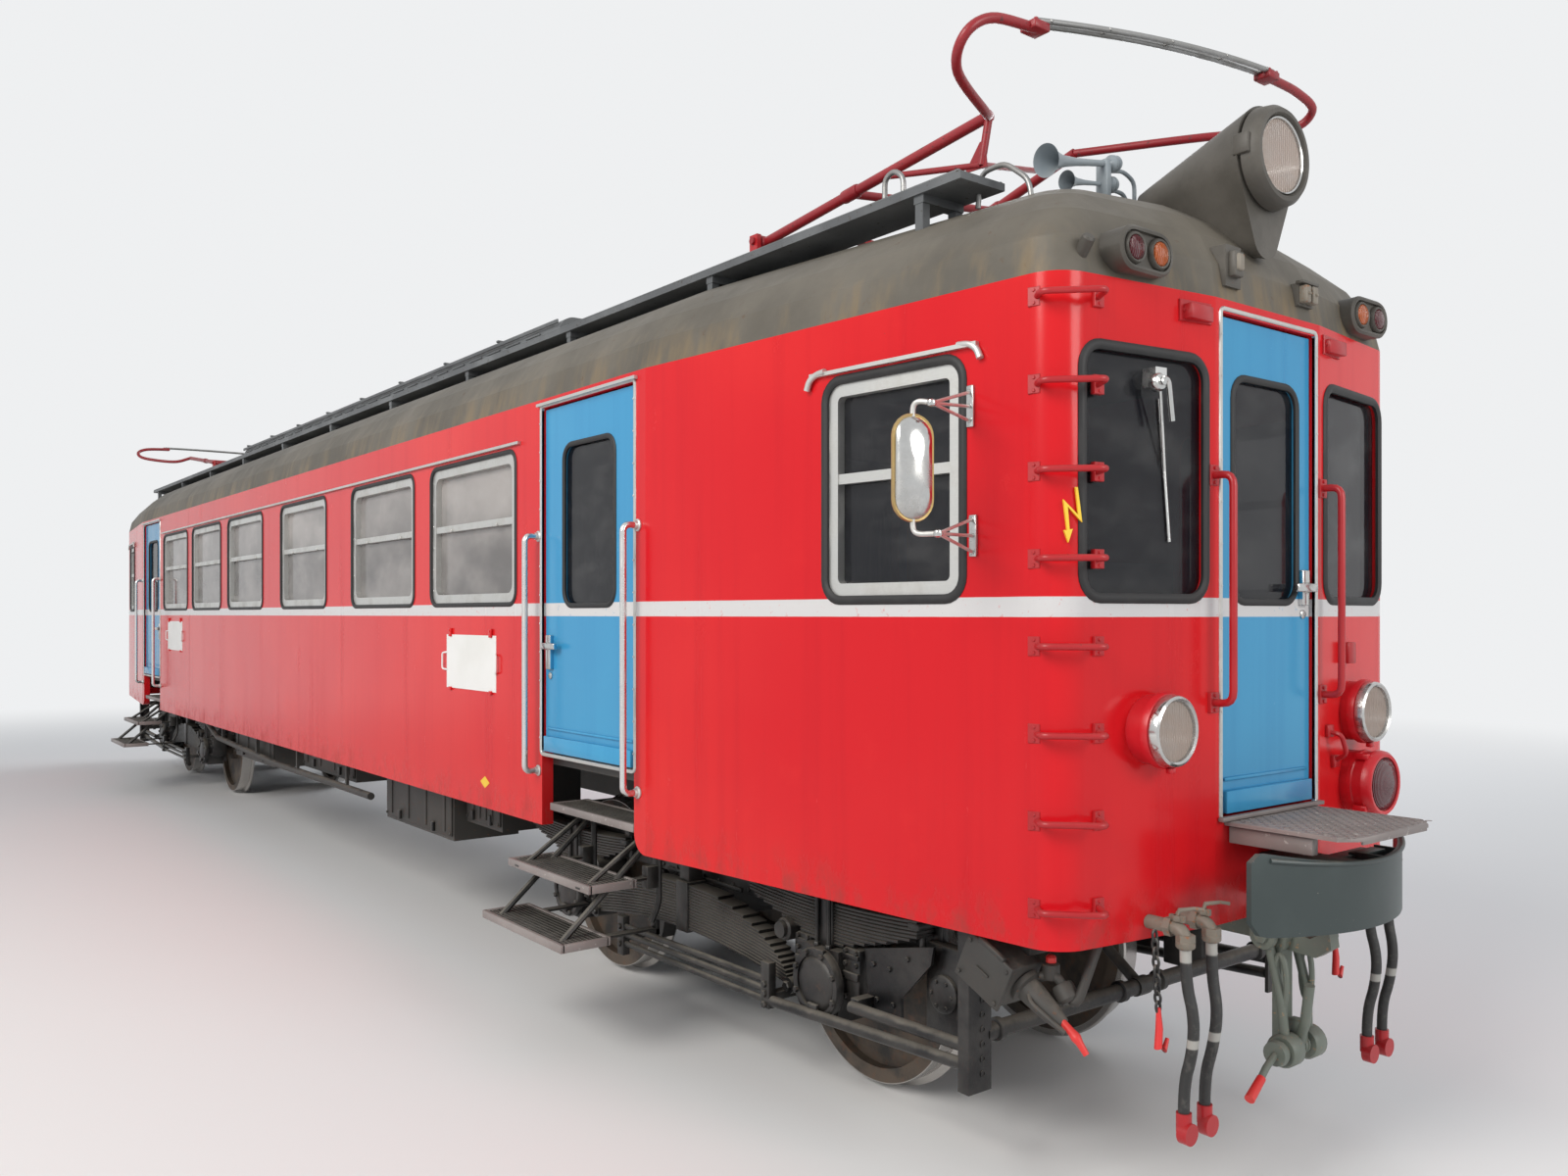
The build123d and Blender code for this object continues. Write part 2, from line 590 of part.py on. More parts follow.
# Collector lines: arm from pivot to nose, then the horn out to the end of the bow, for each side.
# The front collector leans to its right, as it stands in the photograph; the rear one is straight.
arm_y = 450
rest_x = 6760
front_right_line = ((6800, -arm_y, 3862), (6930, -620, 3800), (7090, -940, 3850), (7170, -860, 3955), (7200, -640, 3985))
front_left_line = ((6800, arm_y, 3985), (6960, 650, 3950), (7200, 1050, 4030), (7290, 1010, 4130), (7300, 640, 4130))
straight_line = ((6800, arm_y, 3925), (6950, 635, 3880), (7150, 1000, 3950), (7230, 940, 4050), (7250, 640, 4065))
collectors = {}
for name, turn, right_line, left_line in (
    ("collector_front", 0, front_right_line, front_left_line),
    ("collector_rear", 180, [(x, -y, z) for x, y, z in straight_line], straight_line),
):
    with BuildPart() as frame:
        add_rod(((collector_pivot_x, -525, collector_pivot_z), (collector_pivot_x, 525, collector_pivot_z)), 34)
        for line in (right_line, left_line):
            nose = line[0]
            pivot = (collector_pivot_x, nose[1], collector_pivot_z)
            add_rod((pivot, nose), collector_tube)
            add_rod(line, 36, 70)
            with Locations((line[-1][0], line[-1][1] - math.copysign(30, line[-1][1]), line[-1][2] + 16)):
                Box(70, 110, 40)
        foot_z = right_line[0][2] - 178
        rest = (rest_x, -arm_y, foot_z)
        add_rod((right_line[0], rest), 32)
        chord_start = (6180, -arm_y, collector_pivot_z + (right_line[0][2] - collector_pivot_z) * 0.57)
        add_rod((chord_start, rest), 26)
        brace_end = (6480, arm_y, collector_pivot_z + (left_line[0][2] - collector_pivot_z) * 0.78)
        add_rod((rest, brace_end), 26)
        shaft_x = collector_pivot_x + 640
        share = 640 / (6800 - collector_pivot_x)
        shaft = [(shaft_x, line[0][1], collector_pivot_z + share * (line[0][2] - collector_pivot_z))
                 for line in (right_line, left_line)]
        add_rod(shaft, 38)
        for step in (-20, 20):
            start = (right_line[-1][0] + step, right_line[-1][1] - 20, right_line[-1][2] + 18)
            end = (left_line[-1][0] + step, left_line[-1][1] + 20, left_line[-1][2] + 18)
            middle = ((start[0] + end[0]) / 2 + 30, 0, (start[2] + end[2]) / 2 + 35)
            add_rod((start, middle, end), 20, 900)
    with BuildPart() as placed:
        add(frame.part, rotation=(0, 0, turn))
    collectors[name] = placed

# Headlamp hood: a drop-shaped front drawn back to a small tail on the crown
hood_front_x = 7725
hood_tail_x = 7190
marker_face_x = 7690
marker_y = 700
marker_z = 3085
low_lamp_x = 7740
tail_lamp_x = 7775


def hood_outline(x, lamp_r, foot_r, lamp_height, foot_height):
    """Tall rounded outline of the hood at one place along the car."""
    with BuildSketch(Plane.YZ.offset(x)) as outline:
        with Locations((0, lamp_height)):
            Circle(lamp_r)
        with Locations((0, foot_height)):
            Circle(foot_r)
        make_hull()
    return outline.sketch


with BuildPart() as lamp_housings:
    front = hood_outline(hood_front_x - 40, lamp_radius + 20, 78, lamp_z, 3265)
    tail = hood_outline(hood_tail_x, 62, 40, 3490, 3400)
    loft((tail, front), ruled=True)
    with Locations((hood_front_x - 25, 0, lamp_z)):
        Cylinder(lamp_radius, 50, rotation=(0, 90, 0))
    for side in (1, -1):
        with BuildSketch(Plane.YZ.offset(7450)):
            with Locations((side * marker_y, marker_z)):
                RectangleRounded(270, 140, 69)
        extrude(amount=marker_face_x - 7450)
        with Locations((low_lamp_x - 120, side * 630, 1577)):
            Cylinder(112, 240, rotation=(0, 90, 0))
    with Locations((tail_lamp_x - 130, 630, 1309)):
        Cylinder(118, 260, rotation=(0, 90, 0))
    with Locations((7640, -235, 3115)):
        Box(130, 90, 140)
    with Locations((7640, 225, 3090)):
        Box(130, 95, 80)
    add(body_solid.part, mode=Mode.SUBTRACT)
    turn_to_rear(lamp_housings.part)

with BuildPart() as lamp_lenses:
    with Locations((hood_front_x + 6 + fit, 0, lamp_z)):
        Cylinder(lamp_radius - 32, 12, rotation=(0, 90, 0))
    for side in (1, -1):
        with Locations((low_lamp_x + 5 + fit, side * 630, 1577)):
            Cylinder(96, 10, rotation=(0, 90, 0))
        for lens_y in (side * (marker_y - 62), side * (marker_y + 62)):
            with Locations((marker_face_x + 6 + fit, lens_y, marker_z)):
                Cylinder(40, 12, rotation=(0, 90, 0))
    with Locations((tail_lamp_x + 5 + fit, 630, 1309)):
        Cylinder(100, 10, rotation=(0, 90, 0))
    turn_to_rear(lamp_lenses.part)

# Horns on a post beside the headlamp: bell radius, length, height and place of the bell's mouth
with BuildPart() as horns:
    for x, height, bell, length in ((7180, 3585, 56, 300), (7150, 3525, 36, 190)):
        start_y = -250
        with Locations((x, start_y - length / 2, height)):
            Cone(bell, 13, length, rotation=(-90, 0, 0))
        with Locations((x, start_y + 20, height)):
            Cylinder(32, 50, rotation=(90, 0, 0))
        with Locations((x, start_y + 10, height - 10)):
            Cylinder(14, 260, align=(Align.CENTER, Align.CENTER, Align.MAX))
    with Locations((7165, start_y + 10, 3555)):
        Box(60, 40, 70)
    add(body_solid.part, mode=Mode.SUBTRACT)
    turn_to_rear(horns.part)

# Red rails at the ends: corner rungs, grab rails and lamp brackets
rung_levels = [963 + 288 * number for number in range(8)]
with BuildPart() as end_rails:
    for level in rung_levels:
        side_foot = (7470, -1010, level)
        end_foot = (7600, -890, level)
        add_rod((side_foot, (7540, -1100, level), (7685, -965, level), end_foot), 20, 25)
    for side in (1, -1):
        foot = half_length - 30
        out = half_length + 75
        y = side * 345
        add_rod(((foot, y, 1652), (out, y, 1652), (out, y, 2405), (foot, y, 2405)), 26, 30)
        with Locations((half_length - 10, side * 430, 2930)):
            Box(60, 120, 50)
    add(body_solid.part, mode=Mode.SUBTRACT)
    turn_to_rear(end_rails.part)

# Bright steel grab rails beside each side door
with BuildPart() as door_rails:
    for side in (1, -1):
        for x in (door_centre_x + 475, door_centre_x - 475):
            foot = side * (half_width - 5)
            out = side * (half_width + 75)
            add_rod(((x, foot, 1175), (x, out, 1175), (x, out, 2330), (x, foot, 2330)), 30, 30)
    add(body_solid.part, mode=Mode.SUBTRACT)
    turn_to_rear(door_rails.part)

# Side steps below each door
step_table = ((1027, 1000, 1210), (785, 1190, 1430), (555, 1320, 1560))
with BuildPart() as side_steps:
    for side in (1, -1):
        for level, inner, outer in step_table:
            with Locations((door_centre_x, side * (inner + outer) / 2, level - 20)):
                Box(840, outer - inner, 40)
        for x in (door_centre_x - 330, door_centre_x + 330):
            with BuildSketch(Plane.YZ.offset(x)):
                with BuildLine():
                    Polyline((side * 1040, 535), (side * 1520, 535), (side * 1520, 515), (side * 1000, 515),
                             (side * 940, floor_z - floor_thickness), (side * 1020, floor_z - floor_thickness), close=True)
                make_face()
            extrude(amount=12)
            with BuildSketch(Plane.YZ.offset(x)):
                with BuildLine():
                    Polyline((side * 1180, 745), (side * 1420, 745), (side * 1100, 535), (side * 1060, 535), close=True)
                make_face()
            extrude(amount=12)
    turn_to_rear(side_steps.part)

# End steps and buffers
with BuildPart() as end_steps:
    with Locations((half_length + 220 + fit, 0, floor_z - 18)):
        Box(440, 565, 12)
    for side in (1, -1):
        with Locations((half_length + 150, side * 240, floor_z - 54)):
            Box(300, 40, 60)
    with Locations((half_length + 12 + fit, 0, floor_z - 5)):
        Box(24, end_door_width + 60, 14)
    turn_to_rear(end_steps.part)

buffer_low_z = 935
buffer_height = 250
with BuildPart() as buffers:
    with BuildSketch(Plane.XY.offset(buffer_low_z)):
        with BuildLine():
            ThreePointArc((7915, -470), (8080, 0), (7915, 470))
            ThreePointArc((7896, -460), (8062, 0), (7896, 460))
            Line((7915, -470), (7896, -460))
            Line((7915, 470), (7896, 460))
        make_face()
    extrude(amount=buffer_height)
    with Locations((half_length + fit, 0, 1050)):
        Box(363, 160, 150, align=(Align.MIN, Align.CENTER, Align.CENTER))
    with Locations((7870, 0, 1085)):
        Box(60, 700, 60)
    turn_to_rear(buffers.part)

# Couplings: drawhook with a hanging screw link
with BuildPart() as couplings:
    with Locations((headstock_x, 0, drawbar_z)):
        Box(300, 60, 70, align=(Align.MIN, Align.CENTER, Align.CENTER))
    with Locations((7735, 0, drawbar_z - 5)):
        Cylinder(62, 130, rotation=(90, 0, 0))
    with BuildSketch(Plane.XZ):
        with BuildLine():
            Polyline((7735, 800), (7880, 790), (7935, 830), (7925, 905), (7885, 915), (7890, 868), (7860, 850),
                     (7735, 885), close=True)
        make_face()
    extrude(amount=27, both=True)
    for side in (1, -1):
        add_rod(((7735, side * 80, 850), (7790, side * 84, 640), (7800, side * 70, 470)), 32, 60)
    add_rod(((7735, -92, 850), (7735, 92, 850)), 40)
    with Locations((7800, 0, 470)):
        Cylinder(28, 230, rotation=(90, 0, 0))
    add_rod(((7800, 0, 470), (7845, -30, 560), (7870, -45, 700)), 34, 60)
    with Locations((7745, 0, 612)):
        Box(34, 70, 376)
    turn_to_rear(couplings.part)

# Jumper socket and plug under the front right corner
with BuildPart() as jumpers:
    with Locations(Location((7350, -900, 790), (0, 25, 0))):
        Box(150, 160, 140)
    with Locations(Location((7440, -890, 715), (0, 130, 0))):
        Cylinder(44, 220)
    with Locations((7345, -900, 850)):
        Box(60, 60, floor_z - floor_thickness - 850, align=(Align.CENTER, Align.CENTER, Align.MIN))
    turn_to_rear(jumpers.part)

# Mirrors on arms beside the cab windows
with BuildPart() as mirrors:
    with Locations((7345, -1400, 2380)):
        Box(50, 150, 330)
    for level in (2180, 2600):
        inward = 60 if level < 2380 else -60
        add_rod(((7300, -1030, level), (7345, -1400, level + inward), (7345, -1400, 2380)), 18, 30)
    add(body_solid.part, mode=Mode.SUBTRACT)
    turn_to_rear(mirrors.part)

# Wipers on the right-hand windscreens: motor, arm and blade resting on the glass
screen_front = -22 + fit
with BuildPart() as wipers:
    screen = end_wall_plane(-1)
    with Locations(screen):
        with Locations((30, 310, screen_front)):
            Box(50, 60, 56, align=(Align.CENTER, Align.CENTER, Align.MIN))
    arm_start = screen.from_local_coords((30, 310, 28))
    arm_end = screen.from_local_coords((97, 20, screen_front + 8))
    add_rod((arm_start, arm_end), 10)
    blade_top = screen.from_local_coords((75, 250, screen_front + 6))
    blade_foot = screen.from_local_coords((120, -210, screen_front + 6))
    add_rod((blade_top, blade_foot), 12)
    turn_to_rear(wipers.part)

# Underfloor boxes, tanks and pipes
with BuildPart() as equipment:
    for x, y, length, width, depth in (
        (2420, -810, 1140, 420, 540),
        (3270, -700, 500, 500, 420),
        (600, -790, 1240, 460, 380),
        (-1500, -760, 1300, 520, 480),
        (1900, 780, 1500, 480, 500),
        (-2300, 780, 900, 480, 420),
    ):
        with Locations((x, y, sill_z)):
            Box(length, width, depth, align=(Align.CENTER, Align.CENTER, Align.MAX))
    for y in (520, 870):
        with Locations((-500, y, sill_z - 170)):
            Cylinder(170, 1200, rotation=(0, 90, 0))

with BuildPart() as pipes:
    for side in (1, -1):
        route = ((-3500, side * 1080, 1000), (-2600, side * 1080, 760), (-600, side * 1080, 700), (1700, side * 1080, 700))
        add_rod(route, 50, 200)
        for x, bottom in ((-2400, 755), (-1200, 718), (0, 700), (1200, 700)):
            with Locations((x, side * 1080, bottom)):
                Box(30, 20, sill_z - bottom, align=(Align.CENTER, Align.CENTER, Align.MIN))

# Partitions and seats seen through the windows
partition_x = (5495, 4470)
with BuildPart() as partitions:
    for x in partition_x:
        with BuildSketch(Plane.YZ.offset(x)):
            with Locations((0, (floor_z + eaves_z) / 2)):
                Rectangle(2 * (half_width - wall), eaves_z - floor_z)
            with Locations((0, (floor_z + 2700) / 2)):
                Rectangle(700, 2700 - floor_z, mode=Mode.SUBTRACT)
        extrude(amount=30)
    turn_to_rear(partitions.part)

with BuildPart() as seats:
    for side in (1, -1):
        for x in range(-3900, 3901, 1560):
            with Locations((x + 230, side * 800, floor_z + 420), (x - 230, side * 800, floor_z + 420)):
                Box(420, 700, 90)
            with Locations((x, side * 800, floor_z)):
                Box(60, 700, 1050, align=(Align.CENTER, Align.CENTER, Align.MIN))
            with Locations((x, side * 800, floor_z)):
                Box(600, 60, 380, align=(Align.CENTER, Align.CENTER, Align.MIN))

with BuildPart() as desks:
    with Locations((7360, -600, floor_z)):
        Box(340, 560, 850, align=(Align.CENTER, Align.CENTER, Align.MIN))
    turn_to_rear(desks.part)

# Brake hoses at the front end: angle cocks on the skirt, hanging hoses and their coupling heads
hose_diameter = 36
cock_x = 7795
cock_z = 905
hose_sway = (("hose_right_outer", -640, 6), ("hose_right_inner", -500, -8),
             ("hose_left_inner", 500, 8), ("hose_left_outer", 640, -6))


def cord_radii(points):
    """Arc radius at each inner point of a cord: as large as its two runs allow."""
    radii = []
    for before, here, after in zip(points, points[1:], points[2:]):
        entering = Vector(*here) - Vector(*before)
        leaving = Vector(*after) - Vector(*here)
        half_turn = math.radians(entering.get_angle(leaving) / 2)
        radii.append(0.45 * min(entering.length, leaving.length) / math.tan(half_turn))
    return radii


hoses = {}
hose_ends = []
for name, y, sway in hose_sway:
    route = (
        (cock_x, y, cock_z),
        (cock_x, y, 805),
        (cock_x + 28, y + sway, 695),
        (cock_x + 16, y + 2 * sway, 580),
        (cock_x - 14, y + 2 * sway, 480),
        (cock_x - 14, y + 2 * sway, 390),
    )
    radii = cord_radii(route)
    print(name, [round(radius) for radius in radii])
    with BuildPart() as hose:
        with BuildLine() as line:
            FilletPolyline(*route, radius=radii)
        with BuildSketch(Plane(origin=line.line @ 0, z_dir=line.line % 0)):
            Circle(hose_diameter / 2)
        sweep()
    hoses[name] = hose
    hose_ends.append(route[-1])

with BuildPart() as hose_heads:
    for end in hose_ends:
        with Locations(end):
            Cylinder(24, 60, align=(Align.CENTER, Align.CENTER, Align.MAX))
        with Locations((end[0] + 12, end[1], end[2] - 62)):
            Cylinder(34, 34, rotation=(0, 90, 0))

with BuildPart() as hose_cocks:
    for name, y, sway in hose_sway:
        add_rod(((7650, y, 965), (cock_x, y, 965), (cock_x, y, cock_z)), 44, 40)
        with Locations((cock_x - 30, y, 995)):
            Box(50, 14, 20)
    add(body_solid.part, mode=Mode.SUBTRACT)

pieces = {
    "cab_front": cab_front,
    "cab_rear": cab_rear,
    "side_left": side_left,
    "side_right": side_right,
    "roof": roof,
    "underframe": underframe,
    "window_frames": window_frames,
    "window_glass": window_glass,
    "window_gutters": window_gutters,
    "walkways": walkways,
    "resistor_cover": resistor_cover,
    "collector_bases": collector_bases,
    "lamp_housings": lamp_housings,
    "lamp_lenses": lamp_lenses,
    "horns": horns,
    "end_rails": end_rails,
    "door_rails": door_rails,
    "side_steps": side_steps,
    "end_steps": end_steps,
    "buffers": buffers,
    "couplings": couplings,
    "jumpers": jumpers,
    "mirrors": mirrors,
    "wipers": wipers,
    "equipment": equipment,
    "pipes": pipes,
    "partitions": partitions,
    "seats": seats,
    "desks": desks,
    "hose_cocks": hose_cocks,
    "hose_heads": hose_heads,
    **collectors,
    **hoses,
    **wheelsets,
    **bogies,
}
for label, piece in pieces.items():
    piece.part.label = label
    export_step(piece.part, f"parts/{label}.step")

# Doors: the front left leaf and pane, copied to the other sides and ends
door_copies = (
    ("front_left", side_door, side_door_pane, False, 0),
    ("front_right", side_door, side_door_pane, True, 0),
    ("rear_right", side_door, side_door_pane, False, 180),
    ("rear_left", side_door, side_door_pane, True, 180),
    ("end_front", end_door, end_door_pane, False, 0),
    ("end_rear", end_door, end_door_pane, False, 180),
)
for place, leaf, glass, mirrored, turn in door_copies:
    for kind, source in (("door", leaf), ("door_glass", glass)):
        with BuildPart() as copy:
            shape = mirror(source.part, about=Plane.XZ, mode=Mode.PRIVATE) if mirrored else source.part
            add(shape, rotation=(0, 0, turn))
        copy.part.label = f"{kind}_{place}"
        export_step(copy.part, f"parts/{kind}_{place}.step")
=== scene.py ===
import json
import math
import bmesh
import bpy
import numpy as np
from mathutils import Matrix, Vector


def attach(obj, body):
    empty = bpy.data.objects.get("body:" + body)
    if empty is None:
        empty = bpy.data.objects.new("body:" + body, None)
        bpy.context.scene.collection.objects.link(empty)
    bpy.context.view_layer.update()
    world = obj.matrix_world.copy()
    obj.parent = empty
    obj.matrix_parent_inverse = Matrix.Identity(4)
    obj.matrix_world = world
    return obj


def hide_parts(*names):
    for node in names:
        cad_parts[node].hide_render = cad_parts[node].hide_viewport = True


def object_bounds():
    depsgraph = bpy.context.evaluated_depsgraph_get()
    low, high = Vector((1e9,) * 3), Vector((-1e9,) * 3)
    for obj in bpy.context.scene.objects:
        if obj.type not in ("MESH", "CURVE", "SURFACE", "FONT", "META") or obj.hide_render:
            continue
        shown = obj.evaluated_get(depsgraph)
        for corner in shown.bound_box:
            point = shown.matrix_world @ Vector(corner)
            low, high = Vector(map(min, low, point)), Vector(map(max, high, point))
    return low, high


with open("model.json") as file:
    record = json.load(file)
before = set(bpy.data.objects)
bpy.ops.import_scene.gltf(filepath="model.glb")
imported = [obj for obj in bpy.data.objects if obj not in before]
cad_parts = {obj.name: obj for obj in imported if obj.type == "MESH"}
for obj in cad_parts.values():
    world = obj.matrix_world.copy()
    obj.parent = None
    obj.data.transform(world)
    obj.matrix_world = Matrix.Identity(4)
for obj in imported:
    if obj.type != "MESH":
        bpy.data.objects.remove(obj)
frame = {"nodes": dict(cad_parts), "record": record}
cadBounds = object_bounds()
cadNodes = frame["nodes"]
scene = bpy.context.scene
print("frame loaded:", len(cadNodes), "nodes")

# Camera: level, at the photograph's place, with a small upward shift for its framing
view = {"place": (10.03, -3.94, 1.944), "ahead": (-0.7916, 0.611, 0.0), "lens": 27.99, "shiftY": 0.0169}
cameraData = bpy.data.cameras.new("camera")
cameraData.lens = view["lens"]
cameraData.sensor_width = 36.0
cameraData.shift_y = view["shiftY"]
camera = bpy.data.objects.new("camera", cameraData)
camera.location = view["place"]
camera.rotation_euler = Vector(view["ahead"]).to_track_quat("-Z", "Y").to_euler()
scene.collection.objects.link(camera)
scene.camera = camera
scene.view_settings.view_transform = "Standard"


# Shader kit
class Sock:
    # an output socket, so that sums are written as Python expressions
    def __init__(self, shader, socket):
        self.shader = shader
        self.socket = socket

    def sum(self, operation, first, second):
        return self.shader.make("ShaderNodeMath", {"operation": operation}, {0: first, 1: second})

    def __add__(self, other):
        return self.sum("ADD", self, other)

    def __sub__(self, other):
        return self.sum("SUBTRACT", self, other)

    def __mul__(self, other):
        return self.sum("MULTIPLY", self, other)

    def __radd__(self, other):
        return self.sum("ADD", other, self)

    def __rsub__(self, other):
        return self.sum("SUBTRACT", other, self)

    def __rmul__(self, other):
        return self.sum("MULTIPLY", other, self)

    def abs(self):
        return self.shader.make("ShaderNodeMath", {"operation": "ABSOLUTE"}, {0: self})


class Shader:
    # one material, or the world: one method makes any node, and patterns lie on the object's coordinates
    def __init__(self, name, world=None):
        self.material = world or bpy.data.materials.new(name)
        self.material.use_nodes = True
        self.tree = self.material.node_tree
        self.tree.nodes.clear()
        self.place = None if world else self.make("ShaderNodeTexCoord", output="Object")

    def make(self, kind, settings=None, values=None, output=0):
        node = self.tree.nodes.new(kind)
        for key, value in (settings or {}).items():
            if key == "stops":
                ramp = node.color_ramp.elements
                while len(ramp) < len(value):
                    ramp.new(0.5)
                for stop, (position, colour) in zip(ramp, value):
                    stop.position = position
                    stop.color = (*colour, 1.0)
            else:
                setattr(node, key, value)
        for key, value in (values or {}).items():
            if isinstance(value, Sock):
                self.tree.links.new(value.socket, node.inputs[key])
            elif isinstance(value, tuple) and node.inputs[key].type == "RGBA":
                node.inputs[key].default_value = (*value[:3], 1.0)
            else:
                node.inputs[key].default_value = value
        return Sock(self, node.outputs[output]) if node.outputs else node

    def stretch(self, scale, turn=(0, 0, 0)):
        return self.make("ShaderNodeMapping", {}, {"Vector": self.place, "Scale": scale, "Rotation": turn})

    def axis(self, letter):
        return self.make("ShaderNodeSeparateXYZ", {}, {0: self.place}, letter)

    def noise(self, scale, detail=4.0, rough=0.55, vector=None, warp=0.0):
        values = {"Vector": vector or self.place, "Scale": scale, "Detail": detail, "Roughness": rough,
                  "Distortion": warp}
        return self.make("ShaderNodeTexNoise", {}, values)

    def step(self, value, low, high):
        settings = {"interpolation_type": "SMOOTHSTEP"}
        return self.make("ShaderNodeMapRange", settings, {"Value": value, "From Min": low, "From Max": high})

    def patch(self, scale, detail, low, high, rough=0.55, vector=None):
        return self.step(self.noise(scale, detail, rough, vector), low, high)

    def band(self, value, low, high, soft=0.002):
        return self.step(value, low - soft, low + soft) - self.step(value, high - soft, high + soft)

    def mix(self, mask, first, second):
        return self.make("ShaderNodeMix", {"data_type": "RGBA"}, {0: mask, 6: first, 7: second}, 2)

    def bump(self, height, distance, strength=1.0):
        return self.make("ShaderNodeBump", {}, {"Height": height, "Distance": distance, "Strength": strength})

    def up(self):
        normal = self.make("ShaderNodeNewGeometry", output="Normal")
        return self.make("ShaderNodeSeparateXYZ", {}, {0: normal}, "Z")

    def finish(self, **values):
        names = {key: key.replace("_", " ") for key in values}
        shaded = self.make("ShaderNodeBsdfPrincipled", {},
                           {names[key]: value for key, value in values.items()})
        self.make("ShaderNodeOutputMaterial", {}, {"Surface": shaded})
        return self.material


# Finishes
paint = {
    "red": (0.6, 0.007, 0.013), "redPale": (0.72, 0.026, 0.022), "redDeep": (0.42, 0.004, 0.012),
    "blue": (0.044, 0.27, 0.5), "bluePale": (0.07, 0.35, 0.58), "white": (0.6, 0.59, 0.59),
    "stripeLow": 1.937, "stripeHigh": 2.0, "grime": (0.085, 0.07, 0.055),
}


def bodyPaint(name, main, pale, deep):
    # large-scale fading, rain streaks, skirt grime and a white waist stripe, all by height and place
    s = Shader(name)
    height = s.axis("Z")
    fading = s.patch(0.55, 3.0, 0.35, 0.68)
    streaks = s.patch(1.0, 5.0, 0.45, 0.75, 0.6, s.stretch((9.0, 9.0, 0.35)))
    blotches = s.patch(3.5, 6.0, 0.56, 0.72, 0.65)
    colour = s.mix(fading * 0.55, main, pale)
    colour = s.mix(streaks * 0.28, colour, deep)
    colour = s.mix(blotches * 0.16, colour, pale)
    stripe = s.band(height + s.noise(14.0) * 0.0015, paint["stripeLow"], paint["stripeHigh"], 0.0012)
    worn = s.patch(38.0, 6.0, 0.62, 0.66, 0.7)
    colour = s.mix(stripe * (1 - worn * 0.45), colour, paint["white"])
    low = 1 - s.step(height, 0.9, 1.12)
    splash = s.patch(11.0, 7.0, 0.44, 0.72, 0.7, s.stretch((1.0, 1.0, 0.5)))
    colour = s.mix(low * splash * 0.42, colour, paint["grime"])
    chips = s.patch(120.0, 3.0, 0.735, 0.75, 0.6)
    colour = s.mix(chips * 0.7, colour, (0.1, 0.06, 0.05))
    relief = s.noise(1.7, 2.0, 0.4) + s.noise(260.0, 2.0) * 0.012 - chips * 0.02
    rough = 0.2 + streaks * 0.1 + splash * low * 0.35 + blotches * 0.06
    return s.finish(Base_Color=colour, Roughness=rough, Specular_IOR_Level=0.22, Coat_Weight=0.06,
                    Coat_Roughness=0.06, Normal=s.bump(relief, 0.006, 0.5))


def plainPaint(name, main, pale, wear, rough=0.35, dust=0.3, chipLevel=0.66):
    # one coat with faded patches, dusty tops and chips to a darker base
    s = Shader(name)
    fading = s.patch(2.2, 5.0, 0.38, 0.7)
    colour = s.mix(fading * 0.6, main, pale)
    chips = s.step(s.noise(46.0, 6.0, 0.68), chipLevel, chipLevel + 0.03)
    colour = s.mix(chips * 0.85, colour, wear)
    dusty = s.step(s.up(), 0.3, 0.9) * s.patch(7.0, 6.0, 0.35, 0.62, 0.65)
    colour = s.mix(dusty * dust, colour, (0.2, 0.175, 0.145))
    relief = s.noise(180.0, 3.0) * 0.25 - chips * 0.5
    return s.finish(Base_Color=colour, Roughness=rough + chips * 0.3 + dusty * 0.3,
                    Normal=s.bump(relief, 0.0008, 0.6))


def roofPaint(name):
    # matt brown-black paint, ochre dust along the eaves, pale streaks running down from the walkways
    s = Shader(name)
    height = s.axis("Z")
    base = s.mix(s.patch(1.3, 6.0, 0.35, 0.68, 0.6), (0.078, 0.069, 0.054), (0.135, 0.12, 0.096))
    streaks = s.patch(1.0, 6.0, 0.42, 0.7, 0.62, s.stretch((10.0, 10.0, 0.8)))
    eaves = 1 - s.step(height + s.noise(3.0) * 0.1, 3.05, 3.27)
    colour = s.mix(eaves * streaks * 0.75, base, (0.19, 0.132, 0.064))
    crown = s.step(height, 3.24, 3.44) * s.patch(5.0, 7.0, 0.4, 0.66, 0.7)
    colour = s.mix(crown * 0.45, colour, (0.17, 0.16, 0.145))
    rust = s.patch(17.0, 8.0, 0.62, 0.7, 0.72)
    colour = s.mix(rust * 0.45, colour, (0.11, 0.055, 0.028))
    relief = s.noise(2.1, 3.0) * 1.4 + s.noise(90.0, 5.0, 0.7) * 0.1
    return s.finish(Base_Color=colour, Roughness=0.62 + rust * 0.15 - streaks * 0.08,
                    Normal=s.bump(relief, 0.006, 0.55))


def lampPaint(name):
    # roof colour on what stands on the roof, body red on what stands below the waist, by height
    s = Shader(name)
    low = 1 - s.step(s.axis("Z"), 2.3, 2.5)
    tone = s.mix(s.patch(3.0, 5.0, 0.38, 0.68), (0.06, 0.054, 0.045), (0.11, 0.1, 0.086))
    red = s.mix(s.patch(2.5, 4.0, 0.4, 0.7), (0.52, 0.01, 0.018), (0.62, 0.03, 0.035))
    colour = s.mix(low, tone, red)
    chips = s.patch(44.0, 6.0, 0.67, 0.7, 0.7)
    colour = s.mix(chips * 0.7, colour, (0.16, 0.07, 0.045))
    return s.finish(Base_Color=colour, Roughness=0.52 - low * 0.2 + chips * 0.2,
                    Normal=s.bump(s.noise(120.0, 4.0) * 0.5 + s.noise(5.0), 0.0015, 0.6))


